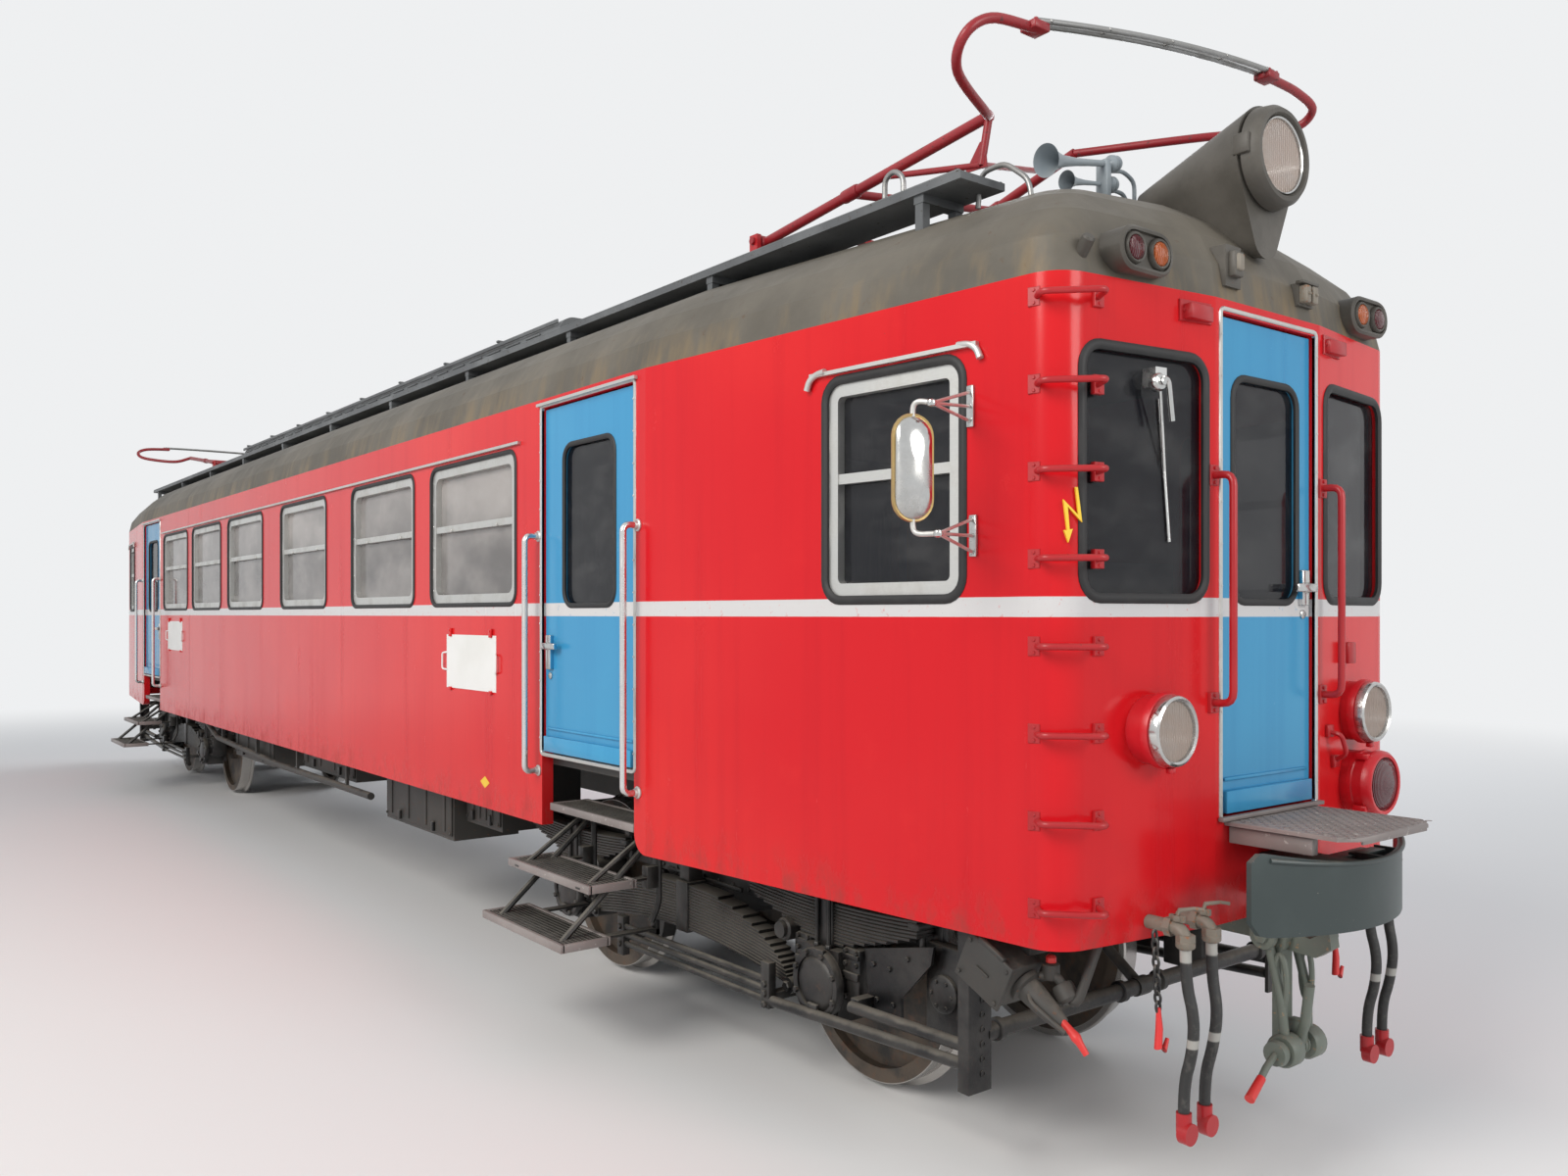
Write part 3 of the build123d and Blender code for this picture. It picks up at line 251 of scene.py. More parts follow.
def metal(name, colour, pale, rough, metallic=1.0, grime=0.35, brush=(1.0, 1.0, 40.0)):
    # bare metal with brushed grain, dull patches and dirt
    s = Shader(name)
    grain = s.noise(30.0, 4.0, 0.6, s.stretch(brush))
    patches = s.patch(6.0, 6.0, 0.42, 0.7, 0.65)
    tone = s.mix(grain, colour, pale)
    tone = s.mix(patches * grime, tone, (0.13, 0.115, 0.095))
    return s.finish(Base_Color=tone, Roughness=rough + patches * 0.22 + grain * 0.06, Metallic=metallic
                    - patches * 0.35, Normal=s.bump(grain, 0.0004, 0.4))


def castIron(name):
    # running gear: oily black with brown brake dust on what faces upwards, and rust spots
    s = Shader(name)
    oil = s.patch(4.0, 6.0, 0.4, 0.64, 0.62)
    tone = s.mix(oil, (0.028, 0.026, 0.024), (0.008, 0.008, 0.009))
    dust = s.step(s.up() + s.noise(13.0, 6.0, 0.65) * 1.1, 0.75, 1.5)
    tone = s.mix(dust * 0.62, tone, (0.225, 0.205, 0.172))
    rust = s.patch(24.0, 7.0, 0.6, 0.7, 0.7)
    tone = s.mix(rust * 0.32, tone, (0.115, 0.062, 0.036))
    relief = s.noise(60.0, 6.0, 0.7) * 0.7 + s.noise(260.0, 3.0) * 0.2
    return s.finish(Base_Color=tone, Roughness=0.42 + dust * 0.38 + rust * 0.1 - oil * 0.1,
                    Metallic=0.25 * oil, Normal=s.bump(relief, 0.0018, 0.7))


wheels = {"bogieX": 5.22, "halfBase": 1.05, "axleZ": 0.477, "treadRadii": (0.444, 0.449)}


def wheelIron(name):
    # polished tread between the flange and the rim's edge, worked out from the distance to the axle
    s = Shader(name)
    offset = ((s.axis("X").abs() - wheels["bogieX"]).abs() - wheels["halfBase"]).abs()
    rise = s.axis("Z") - wheels["axleZ"]
    reach = s.make("ShaderNodeMath", {"operation": "SQRT"}, {0: offset * offset + rise * rise})
    tread = s.step(reach, *wheels["treadRadii"])
    oil = s.patch(6.0, 6.0, 0.4, 0.66, 0.6)
    rust = s.patch(20.0, 7.0, 0.52, 0.68, 0.7)
    tone = s.mix(oil, (0.1, 0.075, 0.055), (0.03, 0.028, 0.026))
    tone = s.mix(rust * 0.5, tone, (0.16, 0.07, 0.035))
    tone = s.mix(tread, tone, (0.52, 0.5, 0.48))
    relief = s.noise(50.0, 6.0, 0.7) * (1 - tread)
    return s.finish(Base_Color=tone, Roughness=0.62 - tread * 0.36, Metallic=tread * 0.9,
                    Normal=s.bump(relief, 0.0015, 0.6))


def glass(name, tint, alpha, ribs=None, dusty=0.1):
    # dark pane with faint dust and wiped streaks; on the saloon windows a pale grey is painted in as the
    # bright view through to the far side, patchy and paler towards the top
    s = Shader(name)
    dust = s.patch(2.6, 6.0, 0.4, 0.75, 0.65, s.stretch((1.0, 1.0, 2.0)))
    edge = s.noise(40.0, 5.0, 0.7)
    colour = s.mix(dust * dusty, tint, (0.35, 0.34, 0.32))
    # painted light: the saloon panes (not the ribbed lamp glasses) get a pale grey base colour in uneven
    # patches, paler towards the top, standing in for the light seen through the car; they are made more
    # opaque so that it shows
    saloonPaintedView = s.band(s.axis("X"), -4.4, 4.3, 0.02) * (0.0 if ribs else 1.0)
    paintedViewPatches = s.patch(1.6, 3.0, 0.38, 0.66, 0.5, s.stretch((1.0, 1.0, 1.6)))
    paintedViewTop = s.step(s.axis("Z") + s.noise(0.8) * 0.25, 2.4, 2.75)
    colour = s.mix(saloonPaintedView * (0.3 + paintedViewPatches * 0.3 + paintedViewTop * 0.25), colour, (0.44, 0.41, 0.39))
    values = {"Base_Color": colour, "Roughness": 0.02 + dust * 0.1, "Specular_IOR_Level": 0.42,
              "Alpha": alpha + dust * 0.1 + edge * 0.03 + saloonPaintedView * 0.24}
    if ribs:
        wave = s.make("ShaderNodeTexWave", {"bands_direction": "Y"}, {"Vector": s.place, "Scale": ribs})
        values["Normal"] = s.bump(wave, 0.004, 0.8)
    return s.finish(**values)


def rubber(name, tone=(0.009, 0.009, 0.01)):
    # matt black with a grey bloom and fine pores
    s = Shader(name)
    bloom = s.patch(9.0, 6.0, 0.42, 0.72, 0.66)
    colour = s.mix(bloom * 0.35, tone, (0.06, 0.058, 0.056))
    return s.finish(Base_Color=colour, Roughness=0.55 + bloom * 0.2,
                    Normal=s.bump(s.noise(220.0, 4.0), 0.0006, 0.5))


def leather(name):
    # brown seat cover with pores and worn, paler cushions
    s = Shader(name)
    worn = s.patch(3.0, 5.0, 0.4, 0.68)
    colour = s.mix(worn * 0.6, (0.115, 0.034, 0.026), (0.2, 0.085, 0.06))
    pores = s.make("ShaderNodeTexVoronoi", {}, {"Vector": s.place, "Scale": 420.0})
    return s.finish(Base_Color=colour, Roughness=0.42 + worn * 0.2, Normal=s.bump(pores, 0.001, 0.5))


def wood(name):
    # varnished panel, grain running upwards
    s = Shader(name)
    grain = s.noise(4.0, 6.0, 0.6, s.stretch((14.0, 14.0, 0.9)), 1.2)
    colour = s.mix(s.step(grain, 0.35, 0.68), (0.2, 0.105, 0.05), (0.42, 0.27, 0.15))
    return s.finish(Base_Color=colour, Roughness=0.3 + grain * 0.12, Coat_Weight=0.3, Coat_Roughness=0.1,
                    Normal=s.bump(grain, 0.0006, 0.5))


finishes = {
    "red_paint": bodyPaint("bodyRed", paint["red"], paint["redPale"], paint["redDeep"]),
    "blue_paint": bodyPaint("doorBlue", paint["blue"], paint["bluePale"], (0.03, 0.2, 0.42)),
    "rail_red": plainPaint("railRed", (0.38, 0.007, 0.012), (0.47, 0.022, 0.026), (0.07, 0.03, 0.028), 0.34,
                           0.12, 0.68),
    "bow_red": plainPaint("bowRed", (0.25, 0.008, 0.014), (0.35, 0.026, 0.032), (0.07, 0.03, 0.028), 0.38,
                          0.2, 0.62),
    "roof_paint": roofPaint("roofPaint"),
    "black_paint": plainPaint("underBlack", (0.03, 0.029, 0.027), (0.06, 0.055, 0.048), (0.12, 0.065, 0.04),
                              0.58, 0.55, 0.62),
    "grey_paint": plainPaint("fittingGrey", (0.12, 0.135, 0.14), (0.21, 0.225, 0.225), (0.085, 0.055, 0.04),
                             0.42, 0.35, 0.64),
    "aluminium": metal("frameAluminium", (0.5, 0.5, 0.48), (0.66, 0.66, 0.64), 0.34, 0.85, 0.25),
    "steel": metal("brightSteel", (0.56, 0.56, 0.55), (0.78, 0.78, 0.77), 0.18, 1.0, 0.18),
    "chrome": metal("mirrorChrome", (0.48, 0.48, 0.47), (0.62, 0.62, 0.61), 0.1, 1.0, 0.3, (1.0, 1.0, 1.0)),
    "iron": castIron("runningIron"),
    "wheel": wheelIron("wheelSteel"),
    "glass": glass("windowGlass", (0.012, 0.013, 0.017), 0.62),
    "lens": glass("lampGlass", (0.4, 0.31, 0.26), 0.88, 26.0, 0.5),
    "rubber": rubber("gasketRubber"),
    "seat_cover": leather("seatLeather"),
    "panel_wood": wood("panelWood"),
    "bright_white": plainPaint("plateWhite", (0.78, 0.78, 0.76), (0.66, 0.66, 0.62), (0.3, 0.27, 0.22), 0.35,
                               0.05, 0.72),
    "sign_yellow": plainPaint("signYellow", (0.82, 0.52, 0.02), (0.86, 0.6, 0.06), (0.35, 0.2, 0.05), 0.35,
                              0.0, 0.72),
    "tag_red": plainPaint("tagRed", (0.62, 0.022, 0.022), (0.74, 0.06, 0.05), (0.12, 0.05, 0.04), 0.4, 0.1,
                          0.7),
    "lamp_red": glass("lampRed", (0.08, 0.003, 0.008), 0.98, 40.0, 0.03),
    "lamp_amber": glass("lampAmber", (0.42, 0.085, 0.012), 0.98, 40.0, 0.03),
    "housing": lampPaint("lampPaint"),
    "buffer_green": plainPaint("bufferGreen", (0.03, 0.043, 0.043), (0.07, 0.09, 0.088), (0.34, 0.31, 0.25),
                               0.42, 0.5, 0.69),
    "step_metal": plainPaint("stepMetal", (0.2, 0.17, 0.162), (0.33, 0.295, 0.28), (0.45, 0.42, 0.39), 0.45,
                             0.3, 0.62),
    "horn_grey": plainPaint("hornGrey", (0.23, 0.27, 0.3), (0.36, 0.4, 0.42), (0.12, 0.09, 0.07), 0.38, 0.3,
                            0.68),
    "wire_grey": metal("wireGrey", (0.2, 0.2, 0.2), (0.42, 0.42, 0.41), 0.32, 0.85, 0.35),
    "cock_tan": plainPaint("cockTan", (0.17, 0.145, 0.115), (0.3, 0.27, 0.22), (0.3, 0.12, 0.05), 0.5, 0.4,
                           0.6),
    "link_olive": plainPaint("linkOlive", (0.13, 0.148, 0.124), (0.24, 0.26, 0.215), (0.36, 0.22, 0.12),
                             0.46, 0.35, 0.62),
    "brass": metal("agedBrass", (0.42, 0.27, 0.09), (0.6, 0.44, 0.2), 0.3, 0.95, 0.35),
    "walkway": plainPaint("walkwayGrey", (0.085, 0.09, 0.095), (0.19, 0.2, 0.205), (0.05, 0.04, 0.03), 0.5,
                          0.4, 0.62),
}
slotOf = {row["node"]: row["material_slot"] for row in frame["record"]["subparts"]}
railNodes = ("end_rails", "collector_bases", "collector_front", "collector_rear", "hose_heads")
ownFinish = {"lamp_housings": "housing", "buffers": "buffer_green", "end_steps": "step_metal",
             "side_steps": "step_metal",
             "horns": "horn_grey", "hose_cocks": "cock_tan", "couplings": "link_olive", "walkways": "walkway",
             "resistor_cover": "walkway"}
for nodeName, cadObject in cadNodes.items():
    finish = ownFinish.get(nodeName, slotOf[nodeName])
    finish = "rail_red" if nodeName in railNodes else "wheel" if nodeName.startswith("wheelset") else finish
    for place in cadObject.material_slots:
        place.material = finishes[finish]
print("finishes made:", len(finishes))


# Mesh kit: every function returns (points, faces), and pieces are made of several such forms
def gridFaces(rows, columns, closeRows=False, closeColumns=False):
    # quads between neighbours of a rows x columns grid of points, optionally joined round either way
    r = np.arange(rows if closeRows else rows - 1)
    c = np.arange(columns if closeColumns else columns - 1)
    r, c = np.meshgrid(r, c, indexing="ij")
    r, c = r.ravel(), c.ravel()
    r2, c2 = (r + 1) % rows, (c + 1) % columns
    return np.stack([r * columns + c, r2 * columns + c, r2 * columns + c2, r * columns + c2], 1).tolist()


def cappedFaces(rows, columns):
    # a grid closed round its columns, with a face over each end
    last = (rows - 1) * columns
    caps = [list(range(columns))[::-1], list(range(last, last + columns))]
    return gridFaces(rows, columns, closeColumns=True) + caps


def unit(vectors):
    return vectors / np.maximum(np.linalg.norm(vectors, axis=-1, keepdims=True), 1e-12)


def basis(direction):
    # two directions square to one given, by crossing it with an axis that it isn't near
    d = unit(np.asarray(direction, float))
    helper = np.array((0.0, 0.0, 1.0)) if abs(d[2]) < 0.9 else np.array((1.0, 0.0, 0.0))
    across = unit(np.cross(helper, d))
    return across, np.cross(d, across), d


def turned(profile, origin, direction, segments=24):
    # profile rows (radius, distance along the axis), carried round: origin + along*d + radius*(cos a, sin a)
    profile = np.asarray(profile, float)
    across, upward, along = basis(direction)
    a = np.linspace(0, 2 * np.pi, segments, endpoint=False)
    ring = np.cos(a)[:, None] * across + np.sin(a)[:, None] * upward
    points = np.asarray(origin, float) + profile[:, None, 1:2] * along + profile[:, None, 0:1] * ring
    return points.reshape(-1, 3), cappedFaces(len(profile), segments)


def block(centre, size, bevel=0.004, axes=None):
    # rounded box: a ball of the bevel's radius, whose points are pushed out to the box's eight inner corners
    half = np.asarray(size, float) / 2
    r = min(bevel, half.min() * 0.95)
    a = (np.arange(12) + 0.5) * np.pi / 6
    b = (np.arange(6) + 0.5) * np.pi / 6 - np.pi / 2
    b, a = np.meshgrid(b, a, indexing="ij")
    ball = np.stack([np.cos(b) * np.cos(a), np.cos(b) * np.sin(a), np.sin(b)], -1)
    points = (np.sign(ball) * (half - r) + ball * r).reshape(-1, 3)
    if axes is not None:
        points = points @ np.asarray(axes, float)
    return points + np.asarray(centre, float), cappedFaces(6, 12)


def blocks(*rows):
    # one rounded box for each row: centre, size and bevel
    return [block(row[:3], row[3:6], row[6]) for row in rows]


def tube(path, radius, sides=10, smooth=0):
    # circle carried along a path, its frame turned as little as possible; radii are spread along the path
    path = np.asarray(path, float)
    if smooth:
        path = rounded(path, smooth)
    ahead = unit(np.gradient(path, axis=0))
    across = basis(ahead[0])[0]
    frames = []
    for direction in ahead:
        across = unit(across - direction * (across @ direction))
        frames.append(across)
    frames = np.array(frames)
    upward = np.cross(ahead, frames)
    a = np.linspace(0, 2 * np.pi, sides, endpoint=False)
    radius = np.atleast_1d(np.asarray(radius, float))
    radii = np.interp(np.linspace(0, 1, len(path)), np.linspace(0, 1, len(radius)), radius)[:, None, None]
    ring = np.cos(a)[None, :, None] * frames[:, None, :] + np.sin(a)[None, :, None] * upward[:, None, :]
    return (path[:, None, :] + ring * radii).reshape(-1, 3), cappedFaces(len(path), sides)


def rounded(path, radius, steps=5):
    # each inner corner becomes a quadratic curve from radius before it to radius after it
    path = np.asarray(path, float)
    parts = [path[:1]]
    t = np.linspace(0, 1, steps)[:, None]
    for before, here, after in zip(path, path[1:], path[2:]):
        start = here + unit(before - here) * min(radius, np.linalg.norm(before - here) * 0.49)
        end = here + unit(after - here) * min(radius, np.linalg.norm(after - here) * 0.49)
        parts.append((1 - t) ** 2 * start + 2 * t * (1 - t) * here + t ** 2 * end)
    parts.append(path[-1:])
    return np.concatenate(parts)


def loopPoints(width, height, radius, steps=7):
    # rounded rectangle: centre of each corner's arc plus radius*(cos a, sin a); points and outward normals
    a = (np.arange(4)[:, None] * 90 + np.linspace(0, 90, steps)[None, :]) * np.pi / 180
    normals = np.stack([np.cos(a), np.sin(a)], -1).reshape(-1, 2)
    signs = np.repeat(np.array([(1, 1), (-1, 1), (-1, -1), (1, -1)], float), steps, axis=0)
    centres = signs * np.array((width / 2 - radius, height / 2 - radius))
    return centres + normals * radius, normals


def rim(wall, width, height, radius, profile, steps=7):
    # profile rows (outwards in the wall's plane, out of the wall) carried round a rounded rectangle
    origin, across, upward, out = (np.asarray(v, float) for v in wall)
    loop, normals = loopPoints(width, height, radius, steps)
    profile = np.asarray(profile, float)
    flat = loop[:, None, :] + normals[:, None, :] * profile[None, :, 0:1]
    points = origin + flat[..., 0:1] * across + flat[..., 1:2] * upward + profile[None, :, 1:2] * out
    return points.reshape(-1, 3), gridFaces(len(loop), len(profile), True, True)


def throughPoints(points, steps=7):
    # Catmull-Rom curve: 0.5*(2b + (c-a)t + (2a-5b+4c-d)t^2 + (3b-a-3c+d)t^3) between b and c
    p = np.asarray(points, float)
    p = np.concatenate([2 * p[:1] - p[1:2], p, 2 * p[-1:] - p[-2:-1]])
    t = np.linspace(0, 1, steps, endpoint=False)[None, :, None]
    a, b, c, d = (p[k:len(p) - 3 + k, None, :] for k in range(4))
    line = 0.5 * (2 * b + (c - a) * t + (2 * a - 5 * b + 4 * c - d) * t ** 2
                  + (3 * b - a - 3 * c + d) * t ** 3)
    return np.concatenate([line.reshape(-1, 3), p[-2:-1]])


def slab(wall, outline, low, high, bevel=0.0):
    # flat outline in a wall's plane, as a plate between two heights, its upper edge drawn in by the bevel
    origin, across, upward, out = (np.asarray(v, float) for v in wall)
    outline = np.asarray(outline, float)
    middle = outline.mean(axis=0)
    shrunk = middle + (outline - middle) * (1 - bevel / max(np.abs(outline - middle).max(), 1e-9))
    rings = [(outline, low), (outline, high)]
    if bevel:
        rings = [(outline, low), (outline, high - bevel), (shrunk, high)]
    points = np.concatenate([origin + ring[:, :1] * across + ring[:, 1:2] * upward + level * out
                             for ring, level in rings])
    return points, cappedFaces(len(rings), len(outline))


def copies(form, offsets):
    # the same form at many offsets: all its points plus each offset
    points, faces = form
    offsets = np.asarray(offsets, float).reshape(-1, 3)
    everything = (points[None, :, :] + offsets[:, None, :]).reshape(-1, 3)
    return everything, [[i + k * len(points) for i in face] for k in range(len(offsets)) for face in faces]


def atRear(forms):
    # half a turn about the car's upright axis: x and y change sign
    return [(points * np.array((-1, -1, 1)), faces) for points, faces in forms]


def bothEnds(forms):
    return forms + atRear(forms)


def flipped(forms):
    # the other side's forms: y changes sign
    return [(points * np.array((1, -1, 1)), faces) for points, faces in forms]


def mirrored(forms):
    return forms + flipped(forms)


def makePiece(name, body, finish, forms, slot=None, replaces=()):
    # forms are joined into one mesh, with normals pointing out and edges over 38 degrees kept sharp
    points, faces, count = [], [], 0
    for formPoints, formFaces in forms:
        points.append(formPoints)
        faces += [[i + count for i in face] for face in formFaces]
        count += len(formPoints)
    mesh = bpy.data.meshes.new(name)
    mesh.from_pydata(np.concatenate(points).tolist(), [], faces)
    work = bmesh.new()
    work.from_mesh(mesh)
    bmesh.ops.recalc_face_normals(work, faces=work.faces)
    work.to_mesh(mesh)
    work.free()
    mesh.polygons.foreach_set("use_smooth", [True] * len(mesh.polygons))
    mesh.set_sharp_from_angle(angle=math.radians(38))
    mesh.materials.append(finishes[finish])
    piece = bpy.data.objects.new(name, mesh)
    scene.collection.objects.link(piece)
    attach(piece, body)
    slot or (finish if finish in knownSlots else "grey_paint")
    if replaces:
        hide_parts(*replaces)


knownSlots = {row["slot"] for row in frame["record"]["materials"]}

# Walls as (origin, across, upward, outwards); the body's sides and ends taper by these slopes
body = {"halfWidth": 1.22, "cabStart": 5.535, "cabEnd": 7.61, "cabHalfWidth": 1.02, "endX": 7.7,
        "endFlat": 0.33}
endSlope = (body["endX"] - body["cabEnd"]) / (body["cabHalfWidth"] - body["endFlat"])
cabSlope = (body["cabHalfWidth"] - body["halfWidth"]) / (body["cabEnd"] - body["cabStart"])
forwards, leftwards, upwards = (1, 0, 0), (0, 1, 0), (0, 0, 1)


def sideWall(x, z, side):
    return (x, side * body["halfWidth"], z), (-side, 0, 0), upwards, (0, side, 0)


def cabWall(x, z, side):
    along = unit(np.array((-side, -cabSlope, 0)))
    out = unit(np.array((-cabSlope, side, 0)))
    return (x, side * (body["halfWidth"] + cabSlope * (x - body["cabStart"])), z), along, upwards, out


def endWall(y, z):
    side = 1 if y > 0 else -1
    along = unit(np.array((-side * endSlope, 1, 0)))
    out = unit(np.array((1, side * endSlope, 0)))
    return (body["endX"] - endSlope * (abs(y) - body["endFlat"]), y, z), along, upwards, out


def leafWall(leaf, z):
    # outer face of a door leaf at the front
    if leaf == "end":
        return (7.682, 0, z), leftwards, upwards, forwards
    side = 1 if leaf == "left" else -1
    return (5.0, side * 1.202, z), (-side, 0, 0), upwards, (0, side, 0)


def leafPieces(leaf, *rows):
    # rows (name, finish, forms, slot) on a front leaf, and half a turn round on the rear leaf that matches it
    tags = {"left": ("front_left", "rear_right"), "right": ("front_right", "rear_left"),
            "end": ("end_front", "end_rear")}
    for tag, turn in zip(tags[leaf], (list, atRear)):
        for name, finish, forms, slot in rows:
            makePiece(name + tag, "door_" + tag, finish, turn(forms), slot)


# Brake hoses: smooth lines through the points of the route, banded in pale tape, ending in their heads
hoses = {"diameter": 0.036, "x": 7.795, "top": 0.905,
         "rows": (("hose_right_outer", -0.64, 0.006), ("hose_right_inner", -0.5, -0.008),
                  ("hose_left_inner", 0.5, 0.008), ("hose_left_outer", 0.64, -0.006))}


def hoseSkin(name):
    # black rubber with grey scuffs and short pale bands of tape
    s = Shader(name)
    scuff = s.patch(30.0, 6.0, 0.5, 0.66, 0.7)
    height = s.axis("Z")
    bands = s.band(height, 0.865, 0.905, 0.004) + s.band(height, 0.6, 0.628, 0.003)
    colour = s.mix(scuff * 0.4, (0.022, 0.022, 0.022), (0.12, 0.115, 0.105))
    colour = s.mix(bands * 0.85, colour, (0.42, 0.41, 0.38))
    return s.finish(Base_Color=colour, Roughness=0.5 + scuff * 0.2,
                    Normal=s.bump(s.noise(160.0, 4.0), 0.0008, 0.5))


finishes["hose"] = hoseSkin("hoseRubber")
for hoseName, y, sway in hoses["rows"]:
    x, top = hoses["x"], hoses["top"]
    route = ((x, y, top), (x, y, 0.805), (x + 0.028, y + sway, 0.695), (x + 0.016, y + 2 * sway, 0.58),
             (x - 0.014, y + 2 * sway, 0.48), (x - 0.014, y + 2 * sway, 0.39))
    curve = bpy.data.curves.new(hoseName + "_line", "CURVE")
    curve.dimensions = "3D"
    spline = curve.splines.new("NURBS")
    spline.points.add(len(route) - 1)
    for point, place in zip(spline.points, route):
        point.co = (*place, 1.0)
    spline.order_u = 3
    spline.use_endpoint_u = True
    spline.resolution_u = 10
    curve.bevel_depth = hoses["diameter"] / 2
    curve.bevel_resolution = 4
    curve.use_fill_caps = True
    curve.materials.append(finishes["hose"])
    hose = bpy.data.objects.new(hoseName + "_line", curve)
    scene.collection.objects.link(hose)
    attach(hose, "car")
    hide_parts(hoseName)
print("hoses hung")

# Window gaskets: black rubber round every pane
windows = {"centres": (3.7, 2.3, 0.615, -1.045, -2.44, -3.79), "width": 1.126, "height": 0.78, "radius": 0.07,
           "middle": 2.39, "cabX": 6.93, "cabWidth": 0.624, "screenY": 0.65, "screenWidth": 0.54}
bead = np.array([(-0.008, -0.006), (-0.008, 0.003), (-0.003, 0.007), (0.004, 0.009), (0.011, 0.007),
                 (0.016, 0.002), (0.016, -0.002)])
wideBead = bead * np.array((1.35, 1.2))
height, middle, radius = windows["height"], windows["middle"], windows["radius"]
gaskets = [rim(sideWall(x, middle, 1), windows["width"], height, radius, bead) for x in windows["centres"]]
gaskets += bothEnds([rim(cabWall(windows["cabX"], middle, 1), windows["cabWidth"], height, radius, wideBead),
                     rim(endWall(windows["screenY"], middle), windows["screenWidth"], height, radius,
                         wideBead)])
makePiece("window_gaskets", "car", "rubber", mirrored(gaskets))

doorWindow = {"middle": 2.37, "height": 0.76, "widths": {"left": 0.48, "right": 0.48, "end": 0.4},
              "radius": 0.07}
for leaf, width in doorWindow["widths"].items():
    form = rim(leafWall(leaf, doorWindow["middle"]), width, doorWindow["height"], doorWindow["radius"], bead)
    leafPieces(leaf, ("door_gasket_", "rubber", [form], "rubber"))
print("gaskets fitted")


# Small forms used by many pieces
def ringForm(profile, origin, direction=forwards, segments=48):
    # a turned ring whose profile closes on itself, so that it has no caps
    points, faces = turned(profile, origin, direction, segments)
    return points, gridFaces(len(profile), segments, True, True)


def collar(radius, half, ease=0.006, lip=0.006):
    # profile of a short drum with eased edges
    return [(radius - ease, -half), (radius, lip - half), (radius, half - lip), (radius - ease, half)]


def bolts(places, direction, radius=0.011, height=0.008):
    # six-sided heads with a chamfer, standing on their places
    profile = [(radius, -0.002), (radius, height * 0.75), (radius * 0.8, height)]
    return [turned(profile, place, direction, 6) for place in places]


def oval(centre, along, across, length, width, wire, steps=18, sides=8):
    # closed link: centre + length*cos a along + width*sin a across,
    # thickened by wire*(cos b outwards + sin b sideways)
    along, across = unit(np.asarray(along, float)), unit(np.asarray(across, float))
    a = np.linspace(0, 2 * np.pi, steps, endpoint=False)[:, None, None]
    b = np.linspace(0, 2 * np.pi, sides, endpoint=False)[None, :, None]
    outward = unit(np.cos(a) * width * along + np.sin(a) * length * across)
    middle = np.asarray(centre, float) + np.cos(a) * length * along + np.sin(a) * width * across
    points = middle + wire * (np.cos(b) * outward + np.sin(b) * np.cross(along, across))
    return points.reshape(-1, 3), gridFaces(steps, sides, True, True)


def chain(start, end, links, wire):
    # links in a row from start to end, each turned a quarter against the one before
    start, end = np.asarray(start, float), np.asarray(end, float)
    across, other, along = basis(end - start)
    reach = np.linalg.norm(end - start) / links
    return [oval(start + along * reach * (k + 0.5), along, (across, other)[k % 2], reach * 0.62, wire * 2.3,
                 wire)
            for k in range(links)]


def dome(wall, width, height, radius, depth, rings=9):
    # rounded rectangle drawn in towards its middle, raised by depth*sqrt(1 - share squared)
    origin, across, upward, out = (np.asarray(v, float) for v in wall)
    loop = loopPoints(width, height, radius)[0]
    share = np.cos(np.linspace(0, np.pi / 2 * 0.97, rings))[:, None, None]
    flat = loop[None] * share
    points = origin + flat[..., :1] * across + flat[..., 1:] * upward + depth * np.sqrt(1 - share ** 2) * out
    return points.reshape(-1, 3), cappedFaces(rings, len(loop))


def lensDome(place, radius, depth):
    # shallow dome: radius*cos t, depth*sin t
    t = np.linspace(0, np.pi / 2 * 0.96, 7)
    return turned(np.stack([radius * np.cos(t), depth * np.sin(t)], 1), place, forwards, 32)


def wallFacing(origin, out):
    out = unit(np.asarray(out, float))
    return origin, (-out[1], out[0], 0), upwards, tuple(out)


def pad(wall, halfWidth, halfHeight, low, high, bevel):
    # rectangular plate on a wall
    corners = np.array(((-1, -1), (1, -1), (1, 1), (-1, 1))) * (halfWidth, halfHeight)
    return slab(wall, corners, low, high, bevel)


